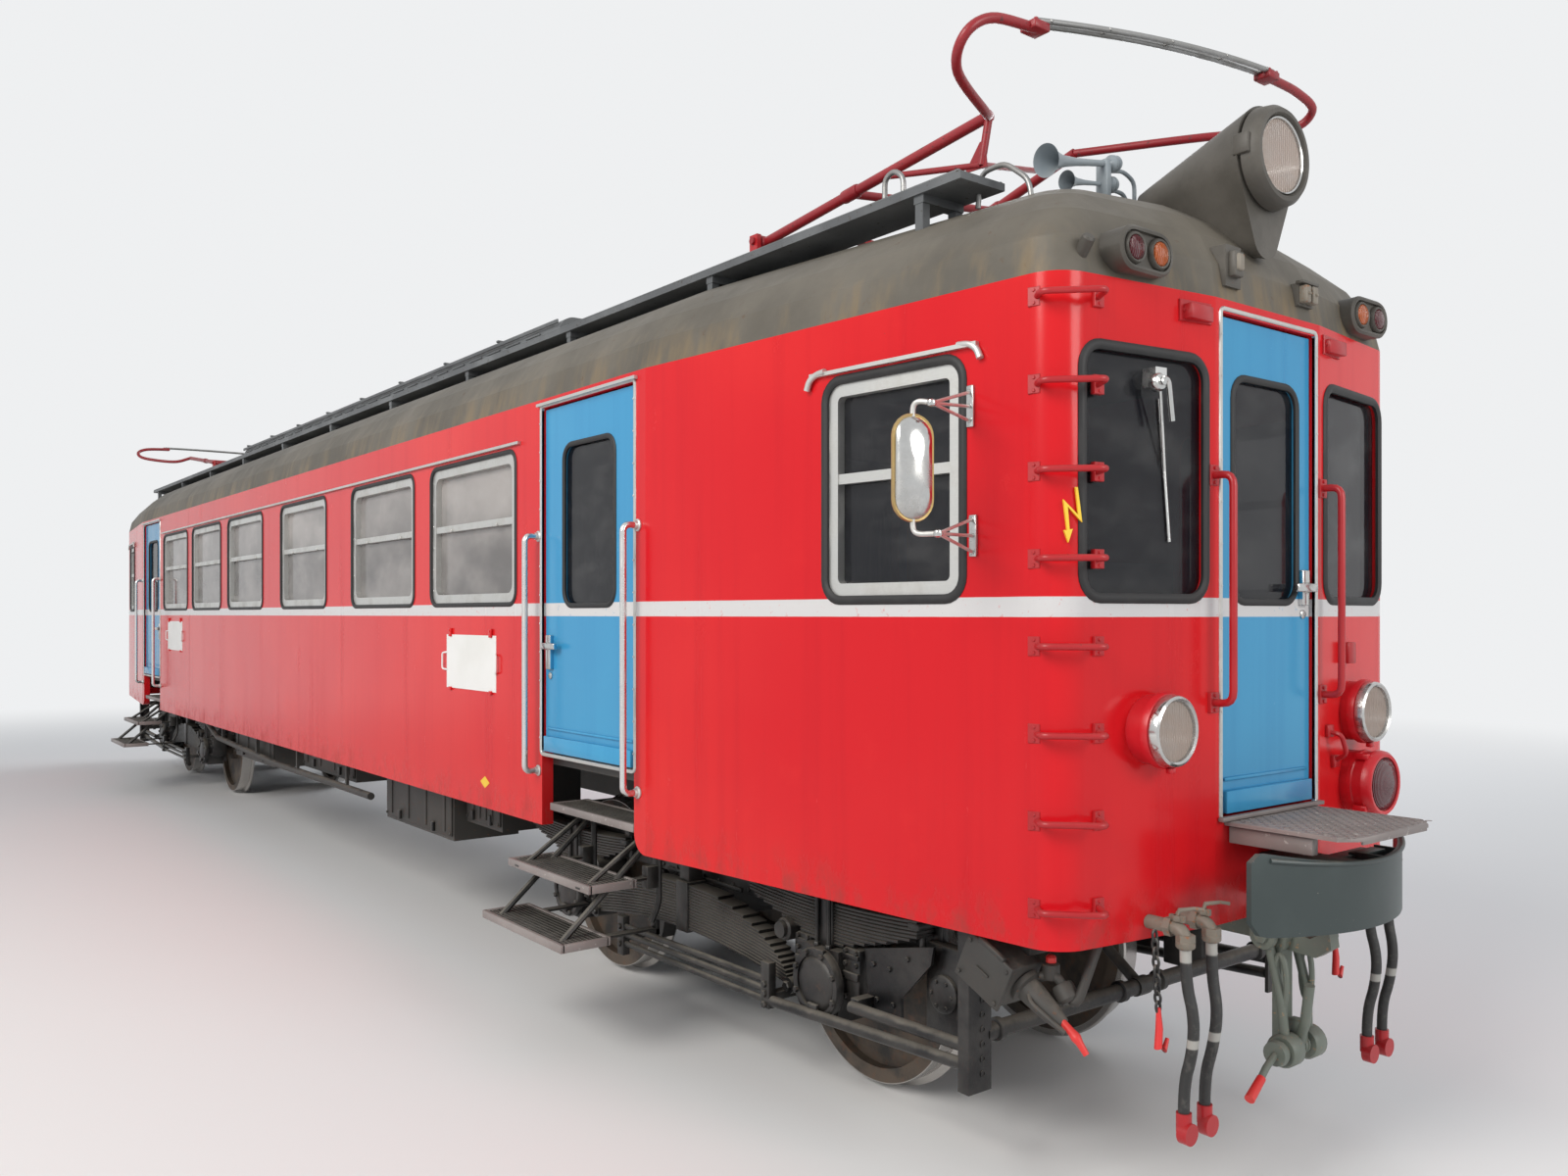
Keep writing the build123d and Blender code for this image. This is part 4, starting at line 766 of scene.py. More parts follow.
# Lamps: rings, flanges, coloured domes and the fittings on the roof's front
lamps = {"main": (7.725, 0, 3.532), "low": (7.74, 0.63, 1.577), "tail": (7.775, 0.63, 1.309),
         "mark": (7.69, 0.7, 3.085), "lensY": 0.062, "glassOut": 0.0123}
markX, markY, markZ = lamps["mark"]
lensPlaces = [(markX, markY + dy, markZ) for dy in (-lamps["lensY"], lamps["lensY"])]
profiles = {
    "mainRing": [(0.124, 0.006), (0.126, 0.02), (0.131, 0.023), (0.135, 0.014), (0.135, 0)],
    "mainFlange": [(0.134, 0), (0.135, 0.02), (0.143, 0.032), (0.158, 0.031), (0.172, 0.014), (0.178, -0.03),
                   (0.166, -0.032)],
    "lowRing": [(0.094, 0.008), (0.096, 0.02), (0.103, 0.026), (0.111, 0.021), (0.115, 0.006),
                (0.115, -0.006), (0.111, -0.006)],
    "lowFlange": [(0.111, -0.008), (0.118, -0.01), (0.121, -0.02), (0.121, -0.034), (0.111, -0.034)],
    "podEdge": [(0, -0.002), (0.002, 0.012), (0.01, 0.014), (0.018, 0.006), (0.018, -0.002)],
    "lensRing": [(0.039, 0.004), (0.04, 0.016), (0.046, 0.018), (0.051, 0.008), (0.051, -0.002)],
    "tailFlange": [(0.099, 0.004), (0.101, 0.018), (0.112, 0.02), (0.122, 0.01), (0.126, -0.014),
                   (0.118, -0.016)],
    "tailBand": [(0.117, -0.05), (0.123, -0.054), (0.123, -0.066), (0.117, -0.07)],
}
chromeRings = [ringForm(profiles["mainRing"], lamps["main"])]
chromeRings += mirrored([ringForm(profiles["lowRing"], lamps["low"], segments=64)])
flanges = [ringForm(profiles["mainFlange"], lamps["main"], segments=64)]
flanges += mirrored([ringForm(profiles["lowFlange"], lamps["low"]),
                     block((7.735, 0.63, 1.452), (0.022, 0.026, 0.018), 0.004),
                     rim(wallFacing(lamps["mark"], forwards), 0.236, 0.106, 0.052, profiles["podEdge"]),
                     *(ringForm(profiles["lensRing"], place, segments=32) for place in lensPlaces),
                     *bolts([(markX, markY + dy, markZ) for dy in (-0.122, 0.122)], forwards, 0.007)])
flanges += [ringForm(profiles["tailFlange"], lamps["tail"]), ringForm(profiles["tailBand"], lamps["tail"])]
for angle in (0.6, 2.2, 3.9, 5.4):
    place = np.array(lamps["tail"]) + (-0.03, 0.128 * math.cos(angle), 0.128 * math.sin(angle))
    flanges.append(block(place, (0.05, 0.024, 0.024), 0.005))
flanges += blocks((7.7, -0.178, 3.545, 0.06, 0.02, 0.07, 0.005), (7.7, 0.176, 3.48, 0.03, 0.02, 0.03, 0.004),
                  (7.715, -0.235, 3.12, 0.03, 0.055, 0.085, 0.006),
                  (7.712, 0.225, 3.132, 0.03, 0.11, 0.012, 0.003))
flanges.append(turned([(0.022, -0.03), (0.022, 0.06), (0.017, 0.066)], (7.6, -0.905, 3.06),
                      (0.7, -0.2, 0.68), 14))
makePiece("lamp_rings", "car", "chrome", bothEnds(chromeRings), "steel")
makePiece("lamp_flanges", "car", "housing", bothEnds(flanges), "roof_paint")
amber, red = (mirrored([lensDome(np.array(place) + (lamps["glassOut"], 0, 0), 0.039, 0.014)])
              for place in lensPlaces)
red.append(lensDome(np.array(lamps["tail"]) + (0.0103, 0, 0), 0.099, 0.02))
makePiece("lamp_domes_red", "car", "lamp_red", bothEnds(red), "lens")
makePiece("lamp_domes_amber", "car", "lamp_amber", bothEnds(amber), "lens")
sockets = blocks((7.716, 0.2, 3.09, 0.034, 0.036, 0.062, 0.007),
                 (7.716, 0.248, 3.09, 0.034, 0.036, 0.062, 0.007),
                 (7.722, -0.235, 3.125, 0.036, 0.038, 0.058, 0.009))
sockets += bolts([(7.732, y, 3.09) for y in (0.2, 0.248)], forwards, 0.006)
makePiece("roof_sockets", "car", "cock_tan", bothEnds(sockets), "iron")
print("lamps dressed")

# Trumpets: a flared bell is a turned profile, out and back in
horns = {"bell": [(0.2, 0), (0.22, 0.3), (0.26, 0.55), (0.4, 0.78), (0.72, 0.94), (1, 1), (1.04, 1.01),
                  (0.98, 1), (0.64, 0.92), (0.32, 0.76), (0.18, 0.6)],
         "unit": [(0.008, -0.055), (0.024, -0.052), (0.03, -0.04), (0.03, -0.034), (0.025, -0.03),
                  (0.031, -0.024), (0.031, -0.01), (0.02, 0), (0.013, 0.03)],
         "rows": (((7.18, -0.215, 3.62), (7.18, -0.565, 3.552), 0.056),
                  ((7.165, -0.215, 3.547), (7.165, -0.436, 3.512), 0.036))}
trumpets = []
for start, end, bell in horns["rows"]:
    way = np.array(end) - np.array(start)
    trumpets += [turned(np.array(horns["bell"]) * (bell, np.linalg.norm(way)), start, way, 32),
                 turned(horns["unit"], start, way, 28)]
trumpets += [tube([(7.172, -0.235, 3.38), (7.172, -0.235, 3.6)], 0.011),
             tube([(7.172, -0.19, 3.6), (7.172, -0.12, 3.615), (7.172, -0.05, 3.59), (7.172, -0.05, 3.42)],
                  0.008, 8, 0.03),
             tube([(7.172, -0.19, 3.53), (7.172, -0.11, 3.53), (7.172, -0.06, 3.4)], 0.008, 8, 0.03)]
trumpets += blocks((7.172, -0.235, 3.56, 0.05, 0.03, 0.14, 0.004),
                   (7.172, -0.235, 3.478, 0.09, 0.08, 0.012, 0.003))
makePiece("horn_trumpets", "car", "horn_grey", bothEnds(trumpets), "grey_paint", replaces=("horns",))

# Mirrors: chrome pills on braced arms
mirror = {"centre": (7.345, -1.375, 2.388), "width": 0.128, "height": 0.318, "corner": 0.063,
          "facing": (0.96, -0.28, 0),
          "hubs": ((7.4, -1.35, 2.58), (7.428, -1.35, 2.186)),
          "hubProfile": [(0.006, -0.012), (0.013, -0.008), (0.015, 0), (0.013, 0.008), (0.006, 0.012)],
          "rim": [(-0.003, -0.01), (-0.003, 0.006), (0.004, 0.008), (0.007, 0), (0.004, -0.01)],
          "feet": (((7.276, -1.052, 2.664), (7.276, -1.052, 2.617), (7.276, -1.052, 2.569)),
                   ((7.284, -1.052, 2.252), (7.29, -1.052, 2.198), (7.29, -1.052, 2.143)))}
wall = wallFacing(mirror["centre"], mirror["facing"])
outline = (mirror["width"], mirror["height"], mirror["corner"])
shells, arms = [dome(wall, *outline, 0.04)], []
x, y, z = mirror["centre"]
for hub, feet, way in zip(mirror["hubs"], mirror["feet"], (1, -1)):
    endZ, away = z + way * 0.16, way * 0.03
    arms.append(tube([(x, y, endZ - away * 0.4), (x, y, endZ + away),
                      (x + 0.02, y + 0.006, endZ + away * 1.4), hub],
                     0.0085, 10, 0.02))
    arms += [tube([hub, foot], 0.0055, 8) for foot in feet]
    shells += [turned(mirror["hubProfile"], hub, upwards, 16),
               block(np.mean(feet, axis=0) + (0.004, -0.004, 0), (0.03, 0.012, 0.135), 0.003)]
    shells += bolts([np.array(foot) + (0.004, -0.009, 0) for foot in feet], (0, -1, 0), 0.008, 0.006)
makePiece("mirror_shells", "car", "chrome", bothEnds(shells), "steel", replaces=("mirrors",))
makePiece("mirror_arms", "car", "aluminium", bothEnds(arms))
makePiece("mirror_rims", "car", "brass", bothEnds([rim(wall, *outline, mirror["rim"])]), "steel")
print("horns and mirrors fitted")

# End rails: corner rungs and grab rails in red tube, their feet, lamp brackets and bolts
endRails = {"rungs": 1.036 + 0.27 * np.arange(8),
            "rungLine": ((7.49, -0.99), (7.58, -1.065), (7.72, -0.925), (7.615, -0.85)),
            "rungFeet": (((7.52, -1.025), (0.3, -0.95, 0)), ((7.635, -0.862), (0.99, -0.13, 0))),
            "nearX": 7.67, "outX": 7.775, "y": 0.345, "levels": (1.652, 2.405)}
y, (low, high) = endRails["y"], endRails["levels"]
rails = [tube([(*place, level) for place in endRails["rungLine"]], 0.0105, 12, 0.028)
         for level in endRails["rungs"]]
rails += mirrored([tube([(endRails["nearX"], y, low), (endRails["outX"], y, low), (endRails["outX"], y, high),
                         (endRails["nearX"], y, high)], 0.013, 14, 0.04),
                   block((7.69, 0.43, 2.93), (0.06, 0.12, 0.05), 0.004)])
makePiece("end_rail_tubes", "car", "rail_red", bothEnds(rails), "red_paint", replaces=("end_rails",))
feet, pads = [], []
for level in endRails["rungs"]:
    for place, out in endRails["rungFeet"]:
        wall = wallFacing((*place, level), out)
        feet.append(pad(wall, 0.02, 0.03, -0.012, 0.007, 0.002))
        feet += bolts([np.array(wall[0]) + (0, 0, dz) + np.array(wall[3]) * 0.006 for dz in (-0.02, 0.02)],
                      out, 0.006, 0.005)
for level in endRails["levels"]:
    pads.append(pad(wallFacing((7.698, y, level), forwards), 0.024, 0.034, -0.004, 0.01, 0.003))
    pads += bolts([(7.708, y, level + dz) for dz in (-0.024, 0.024)], forwards, 0.007, 0.005)
pads.append(pad(endWall(0.43, 2.935), 0.075, 0.035, -0.004, 0.008, 0.003))
pads += bolts([np.array(endWall(0.43 + dy, 2.935)[0]) + (0.008, 0, 0) for dy in (-0.06, 0.06)], forwards,
              0.006)
feet.append(tube([(7.69, 0.4, 1.512), (7.745, 0.4, 1.505), (7.745, 0.44, 1.43), (7.69, 0.45, 1.4)], 0.009, 8,
                 0.02))
feet += blocks((7.7, 0.398, 1.515, 0.02, 0.04, 0.045, 0.004), (7.694, 0.45, 1.4, 0.02, 0.04, 0.045, 0.004),
               (7.69, 0.56, 1.8, 0.03, 0.055, 0.08, 0.005))
makePiece("end_pads", "car", "rail_red", bothEnds(feet + mirrored(pads)), "red_paint")

# Door trims, yellow signs, and white plates with their handles and hooks
trim = {"endEdge": [(0, -0.01), (0, 0.003), (0.003, 0.006), (0.013, 0.006), (0.016, 0.002), (0.016, -0.006)],
        "sideEdge": [(0, -0.012), (0, 0.003), (0.003, 0.006), (0.014, 0.006), (0.017, 0.002),
                     (0.017, -0.004)],
        "railFoot": [(0.027, -0.004), (0.027, 0.006), (0.02, 0.01), (0.017, 0.022)],
        "middle": 2.112, "screws": np.linspace(1.34, 2.88, 12)}
trims = [rim(((7.7, 0, trim["middle"]), leftwards, upwards, forwards), 0.59, 1.696, 0.01, trim["endEdge"], 4)]
trims += bolts([(7.705, y, z) for z in trim["screws"] for y in (0.303, -0.303)], forwards, 0.0045, 0.003)
makePiece("end_door_trims", "car", "aluminium", bothEnds(trims))
signs = {"boltPlace": (7.6125, -0.9645, 2.25), "boltFacing": (0.86, -0.51, 0), "diamondPlace": (3.888, 1.047),
         "bolt": [(0.012, 0.084), (0.02, 0.084), (0.034, -0.024), (-0.012, 0.024), (-0.006, -0.046),
                  (0.004, -0.044),
                  (-0.01, -0.086), (-0.024, -0.048), (-0.014, -0.048), (-0.026, 0.046), (0.022, -0.002)],
         "diamond": [(0, -0.032), (0.058, 0), (0, 0.032), (-0.058, 0)]}
yellow = [slab(wallFacing(signs["boltPlace"], signs["boltFacing"]), signs["bolt"], -0.004, 0.006),
          slab(sideWall(*signs["diamondPlace"], -1), signs["diamond"], -0.001, 0.0015)]
makePiece("signs_yellow", "car", "sign_yellow", bothEnds(yellow), "red_paint")
plates, hooks = [], []
for x, z, width, height in ((3.7, 1.682, 0.66, 0.3), (-3.8, 1.725, 0.68, 0.3)):
    plates.append(pad(sideWall(x, z, -1), width / 2, height / 2, -0.001, 0.003, 0.0015))
    corners = [(x + sx * (width / 2 - 0.02), -1.2225, z + sz * (height / 2 - 0.02)) for sx in (1, -1)
               for sz in (1, -1)]
    plates += bolts(corners, (0, -1, 0), 0.005, 0.003)
    for end in (1, -1):
        edge, hookX, top = x + end * width / 2, x + end * 0.27, z + height / 2
        plates.append(tube([(edge - end * 0.01, -1.222, z + 0.05), (edge + end * 0.03, -1.236, z + 0.045),
                            (edge + end * 0.03, -1.236, z - 0.045), (edge - end * 0.01, -1.222, z - 0.05)],
                            0.005, 8, 0.012))
        hooks += blocks((hookX, -1.226, top + 0.012, 0.034, 0.012, 0.046, 0.003),
                        (hookX, -1.226, top - height - 0.004, 0.034, 0.012, 0.02, 0.003))
        hooks += bolts([(hookX, -1.231, top + 0.022)], (0, -1, 0), 0.006, 0.004)
makePiece("plate_hooks", "car", "red_paint", bothEnds(hooks))
makePiece("plates_white", "car", "bright_white", bothEnds(plates), "red_paint")

# Door handles and kick ledges: half width, handle's place across, its plate's height and length,
# its lever's height and shift
handles = {"end": (0.285, 0.24, 2.04, 0.12, 2.04, -0.03), "left": (0.43, 0.38, 1.76, 0.16, 1.79, -0.04),
           "right": (0.43, -0.38, 1.76, 0.16, 1.79, 0.04)}
for leaf, (half, place, plateZ, plateLength, leverZ, shift) in handles.items():
    origin, *axes = (np.asarray(v, float) for v in leafWall(leaf, 0))

    def onLeaf(across, z, out):
        return origin + np.array((across, z, out)) @ np.array(axes)

    chrome = [block(onLeaf(place, plateZ, 0.009), (0.046, plateLength + 0.008, 0.02), 0.004, axes),
              turned([(0.021, 0.016), (0.021, 0.022), (0.017, 0.026), (0.017, 0.034)],
                     onLeaf(place, leverZ, 0), axes[2], 20),
              block(onLeaf(place + shift, leverZ, 0.033), (plateLength / 8 + 0.118, 0.03, 0.022), 0.005,
                    axes),
              turned([(0.016, -0.002), (0.016, 0.006), (0.012, 0.009)],
                     onLeaf(place, plateZ - plateLength / 2 - 0.035, 0), axes[2], 20)]
    ledge = [block(onLeaf(0, 1.313, 0.008), (2 * half - 0.03, 0.075, 0.03), 0.0035, axes),
             block(onLeaf(0, 1.388, 0.004), (2 * half - 0.05, 0.012, 0.01), 0.0035, axes)]
    leafPieces(leaf, ("door_handle_", "chrome", chrome, "steel"),
               ("door_ledge_", "blue_paint", ledge, "blue_paint"))
trims = [rim(sideWall(5.0, trim["middle"], 1), 0.88, 1.69, 0.012, trim["sideEdge"], 4)]
trims += bolts([(5.0 + dx, 1.2275, z) for z in trim["screws"] for dx in (-0.448, 0.448)], leftwards, 0.0045,
               0.003)
trims += [turned(trim["railFoot"], (x, 1.22, z), leftwards, 20) for x in (5.475, 4.525)
          for z in (1.175, 2.33)]
makePiece("side_door_trims", "car", "aluminium", bothEnds(mirrored(trims)))

# Wiper hubs and the turned-down ends of the cab windows' gutters
hubProfile = [(0.03, -0.012), (0.03, 0.01), (0.024, 0.018), (0.013, 0.02), (0.012, 0.03), (0.004, 0.032)]
wiperHubs = [turned(hubProfile, (7.69, -0.637, 2.681), (0.99, -0.13, 0), 24),
             tube([(7.713, -0.637, 2.69), (7.713, -0.61, 2.69), (7.71, -0.585, 2.56)], 0.009, 10, 0.02)]
makePiece("wiper_hubs", "car", "chrome", bothEnds(wiperHubs), "steel")
gutterEnds = []
for way in (1, -1):
    x = windows["cabX"] + way * 0.35
    y = 1.2285 + cabSlope * (x - body["cabStart"])
    far = y + cabSlope * way * 0.05
    gutterEnds.append(tube([(x - way * 0.05, y + 0.002, 2.822), (x, y + 0.002, 2.818),
                            (x + way * 0.03, far + 0.004, 2.8),
                            (x + way * 0.045, far + 0.004, 2.765)], 0.012, 10, 0.02))
makePiece("gutter_ends", "car", "aluminium", bothEnds(mirrored(gutterEnds)))
print("end walls and doors dressed")

# Window details: screws in the inner frames and sliding latches
screws, latches = [], []
for x in windows["centres"]:
    screws += bolts([(x + dx, 1.2145, z) for dx in (-0.538, 0.538) for z in np.linspace(2.08, 2.7, 6)],
                    leftwards, 0.0045, 0.003)
    latches += [block((x + dx, 1.212, 2.418), (0.06, 0.016, 0.018), 0.003) for dx in (-0.3, 0.3)]
makePiece("window_screws", "car", "steel", mirrored(screws))
makePiece("window_latches", "car", "aluminium", mirrored(latches))

# Bogies: leaf springs, guard bars, axle box covers, brake shoes and their bolts
bogieX, axleZ, halfBase = wheels["bogieX"], wheels["axleZ"], wheels["halfBase"]
springs = {"y": 0.78, "width": 0.09, "thickness": 0.0118, "pitch": 0.014, "primaryTop": 0.784,
           "mainLow": 0.475}


def leafSpring(x, z, reach, bow, rows=13):
    # flat spring: height bow*(x/reach)^2, its section a rectangle with eased edges
    section = np.array([(-0.5, -0.32), (-0.46, -0.5), (0.46, -0.5), (0.5, -0.32)])
    section = np.concatenate([section, -section]) * (springs["width"], springs["thickness"])
    t = np.linspace(-1, 1, rows)[:, None]
    grid = np.stack(np.broadcast_arrays(t * reach, section[:, 0], bow * t ** 2 + section[:, 1]), -1)
    return grid.reshape(-1, 3) + (x, springs["y"], z), cappedFaces(rows, 8)


def bogiePair(name, forms, hidden=None):
    # on the front bogie, and half a turn round on the rear one
    for end, placed in (("_front", forms), ("_rear", atRear(forms))):
        makePiece(name + end, "bogie" + end, "iron", placed, replaces=(hidden + end,) if hidden else ())


y, springForms = springs["y"], []
for x in (bogieX - halfBase, bogieX + halfBase):
    for k in range(12):
        share, level = min(1, 1.53 - 0.121 * k), springs["primaryTop"] - k * springs["pitch"] + 0.006
        springForms.append(leafSpring(x, level, 0.52 * share, 0.024 * share ** 2))
    middle, top = springs["primaryTop"] - 5.5 * springs["pitch"] + 0.006, springs["primaryTop"] + 0.02
    springForms.append(block((x, y, middle), (0.096, 0.112, 0.192), 0.008))
    for tip in (x - 0.505, x + 0.505):
        springForms += [turned([(0.024, 0), (0.024, 0.05), (0.02, 0.058)], (tip, y, top), upwards, 6),
                        turned([(0.012, -0.09), (0.012, 0)], (tip, y, top), upwards, 12)]
        springForms += blocks((tip, 0.756, 0.843, 0.046, 0.105, 0.034, 0.005),
                              (tip, y, 0.797, 0.06, 0.1, 0.024, 0.005))
    for boltX in (x - 0.036, x + 0.036):
        springForms.append(tube([(boltX, 0.842, middle - 0.11), (boltX, 0.842, middle + 0.11)], 0.009, 8))
        springForms += bolts([(boltX, 0.842, middle - 0.095), (boltX, 0.842, middle + 0.1)], upwards, 0.015,
                             0.014)
for k in range(15):
    share, level = math.sqrt(1 - (k / 15) ** 2), springs["mainLow"] + k * springs["pitch"] + 0.006
    springForms.append(leafSpring(bogieX, level, 0.8 * share, -0.075 * share ** 2, 17))
middle = springs["mainLow"] + 7 * springs["pitch"] + 0.006
springForms += blocks((bogieX, y, middle, 0.096, 0.112, 0.236, 0.008),
                      (bogieX, y, 0.778, 0.08, 0.08, 0.164, 0.006))
for tip in (-0.8, 0.8):
    springForms += [turned([(0.034, -0.058), (0.034, 0.058)], (bogieX + tip * 1.02, y, 0.404), leftwards, 18),
                    block((bogieX + tip * 1.045, 0.762, 0.402), (0.07, 0.112, 0.05), 0.008)]
    springForms += bolts([(bogieX + tip * 1.02, 0.838, 0.404)], leftwards, 0.022, 0.016)
makePiece("leaf_springs_front_left", "bogie_front", "iron", springForms, replaces=("bogie_springs_front",))
makePiece("leaf_springs_rear_right", "bogie_rear", "iron", atRear(springForms),
          replaces=("bogie_springs_rear",))
makePiece("leaf_springs_front_right", "bogie_front", "iron", flipped(springForms))
makePiece("leaf_springs_rear_left", "bogie_rear", "iron", atRear(flipped(springForms)))

guard = {"x": 7.16, "y": 0.91, "barY": 0.9, "plateY": 0.795, "gauge": (6.87, 0.56), "axle": 0.52,
         "angle": [(-0.055, -0.025), (0.055, -0.025), (0.055, 0.025), (0.042, 0.025), (0.042, -0.01),
                   (-0.055, -0.01)],
         "hole": [(0.0125, -0.001), (0.0125, 0.003), (0.008, 0.003), (0.0078, 0.0005), (0.002, 0.0004)],
         "plate": [(1.256, 0.648), (1.634, 0.733), (1.62, 0.665), (1.463, 0.505), (1.463, 0.428),
                   (1.287, 0.42)],
         "plateBolts": ((1.31, 0.6), (1.4, 0.6), (1.5, 0.66), (1.33, 0.47), (1.42, 0.47)),
         "bars": ((1.29, 0.45, 0.468), (0.765, 0.345, 0.405)), "rails": (0.33, 0.375, 0.415)}
x, y, bar = guard["x"], guard["y"], guard["barY"]
bars = [slab(((x, y, 0.335), leftwards, (-1, 0, 0), upwards), guard["angle"], 0, 0.545, 0.003)]
bars += [turned(guard["hole"], (x + 0.025, y - 0.012, z), forwards, 12)
         for z in np.linspace(0.395, 0.845, 10)]
bars += [tube([(bogieX + start, bar, low), (x - 0.01, bar, high)], 0.0225, 14)
         for start, low, high in guard["bars"]]
bars += [tube([(bogieX - 0.44, bar, level), (bogieX + 0.785, bar, level + 0.012)], 0.014, 12)
         for level in guard["rails"]]
for postX, low in ((bogieX - 0.42, 0.275), (bogieX + 0.765, 0.315)):
    bars += blocks((postX, bar, low + 0.095, 0.056, 0.04, 0.19, 0.004),
                   (postX, 0.8, 0.36, 0.05, 0.19, 0.034, 0.004),
                   (postX, 0.718, 0.6, 0.05, 0.026, 0.515, 0.004))
    bars += bolts([(postX, 0.92, level) for level in guard["rails"]], leftwards, 0.015, 0.012)
bars += blocks((x, 0.677, 0.82, 0.05, 0.355, 0.05, 0.004), (6.952, 0.525, 0.82, 0.366, 0.05, 0.05, 0.004),
               (bogieX + 1.3, 0.75, 0.62, 0.044, 0.09, 0.05, 0.004),
               (bogieX + 1.29, 0.835, 0.452, 0.044, 0.1, 0.05, 0.004),
               (6.87, 0.73, 0.567, 0.2, 0.06, 0.335, 0.01), (6.8, 0.715, 0.76, 0.06, 0.03, 0.12, 0.004))
gaugeX, gaugeZ = guard["gauge"]
bars.append(turned([(0.07, -0.014), (0.07, 0.008), (0.06, 0.014), (0.02, 0.016)], (gaugeX, 0.765, gaugeZ),
                   leftwards, 24))
bars += bolts([(gaugeX + 0.05 * math.cos(a), 0.775, gaugeZ + 0.05 * math.sin(a))
               for a in np.arange(6) * np.pi / 3],
              leftwards, 0.008, 0.01)
bars += bolts([(bogieX + dx, 0.803, z) for dx, z in guard["plateBolts"]], leftwards)
bars = mirrored(bars)
level = guard["axle"]
bars += [tube([(x, -0.865, level), (x, 0.865, level)], 0.03, 16),
         tube([(x, 0, level), (6.785, 0, 0.8)], 0.022, 12),
         turned([(0.036, -0.035), (0.036, 0.035)], (x, 0, level), leftwards, 16)]
bars += [turned(collar(0.04, 0.015, 0.006, 0.003), (x, y, level), leftwards, 20)
         for y in (-0.8, -0.12, 0.12, 0.8)]
bars += [slab(((bogieX, y, 0), forwards, upwards, leftwards), guard["plate"], -0.007, 0.007, 0.002)
         for y in (guard["plateY"], -guard["plateY"])]
bogiePair("guard_bars", bars, "bogie_guard")

axleBox = {"ring": [(0.112, 0), (0.112, 0.01), (0.122, 0.014), (0.137, 0.012), (0.142, 0.002),
                    (0.142, -0.012), (0.112, -0.012)],
           "cover": [(0.112, -0.004), (0.108, 0.004), (0.092, 0.012), (0.06, 0.018), (0.03, 0.021),
                     (0.004, 0.022)],
           "cylinder": [(0.048, -0.088), (0.048, 0.08), (0.04, 0.088), (0.034, 0.088), (0.034, 0.104),
                        (0.016, 0.108)],
           "shoe": np.linspace(-0.42, 0.3, 9), "shoeRadii": (0.512, 0.462)}
fittings, z = [], axleZ
for x, inward in ((bogieX - halfBase, 1), (bogieX + halfBase, -1)):
    fittings += [ringForm(axleBox["ring"], (x, 0.874, z), leftwards),
                 turned(axleBox["cover"], (x, 0.874, z), leftwards, 32),
                 turned(axleBox["cylinder"], (x + inward * 0.245, 0.77, 0.64), leftwards, 24)]
    fittings += blocks((x, 0.888, z - 0.095, 0.06, 0.03, 0.04, 0.006),
                       (x + 0.02, 0.88, z + 0.125, 0.07, 0.02, 0.036, 0.006))
    fittings += bolts([(x + 0.124 * math.cos(a), 0.886, z + 0.124 * math.sin(a))
                       for a in (np.arange(8) + 0.5) * np.pi / 4],
                      leftwards, 0.013, 0.012)
    for legX in (x - 0.15, x + 0.15):
        fittings += blocks((legX, 0.752, z + 0.055, 0.092, 0.14, 0.212, 0.008),
                           (legX, 0.824, z + 0.055, 0.092, 0.016, 0.03, 0.004),
                           (legX, 0.824, z + 0.13, 0.092, 0.012, 0.02, 0.004))
        fittings += bolts([(legX + dx, 0.822, z + dz) for dx in (-0.032, 0.032)
                           for dz in (-0.03, 0.1, 0.148)],
                          leftwards, 0.011, 0.01)
    arc = np.stack([np.cos(axleBox["shoe"]), np.sin(axleBox["shoe"])], 1)
    outline = np.concatenate([arc * axleBox["shoeRadii"][0], arc[::-1] * axleBox["shoeRadii"][1]])
    fittings.append(slab(((x, 0.5, z), (inward, 0, 0), upwards, leftwards), outline, 0, 0.08, 0.003))
    fittings.append(tube([(x + inward * 0.5, 0.545, z - 0.05), (x + inward * 0.56, 0.56, z + 0.12),
                          (x + inward * 0.52, 0.6, 0.8)], 0.016, 10, 0.05))
fittings += bolts([(bogieX + dx, 0.705, level) for dx in np.arange(-1.44, 1.45, 0.12)
                   for level in (0.705, 0.835)],
                  leftwards, 0.011, 0.007)
fittings += blocks((bogieX, 0.708, 0.848, 3.08, 0.016, 0.022, 0.003),
                   (bogieX, 0.708, 0.69, 0.62, 0.016, 0.022, 0.003))
bogiePair("bogie_fittings", mirrored(fittings))
print("bogies dressed")

# Steps: grating treads in metal frames beside the doors, chequered plates at the ends
treads = {"x": 5.02, "length": 0.79, "rows": ((1.027, 1, 1.21), (0.785, 1.19, 1.43), (0.555, 1.32, 1.56)),
          "bolts": ((1.38, 0.768), (1.24, 0.768), (1.5, 0.537), (1.36, 0.537))}
frames, gratings, centreX, length = [], [], treads["x"], treads["length"]
for level, inner, outer in treads["rows"]:
    y, width, z = (inner + outer) / 2, outer - inner, level - 0.018
    for way in (1, -1):
        frames += blocks((centreX, y + way * (width / 2 - 0.01), z, length, 0.02, 0.036, 0.003),
                         (centreX + way * (length / 2 - 0.008), y, z, 0.016, width - 0.02, 0.036, 0.003))
    gratings.append(block((centreX, y, z - 0.01), (length - 0.03, width - 0.03, 0.006), 0.002))
    gratings += blocks(*((centreX + k * (length / 2 - 0.028), y, z + 0.007, 0.0035, width - 0.034, 0.016,
                          0.001)
                         for k in np.linspace(-1, 1, 46)))
    gratings += blocks(*((centreX, y + k * (width / 2 - 0.034), z + 0.011, length - 0.034, 0.004, 0.01, 0.001)
                         for k in np.linspace(-1, 1, 9)))
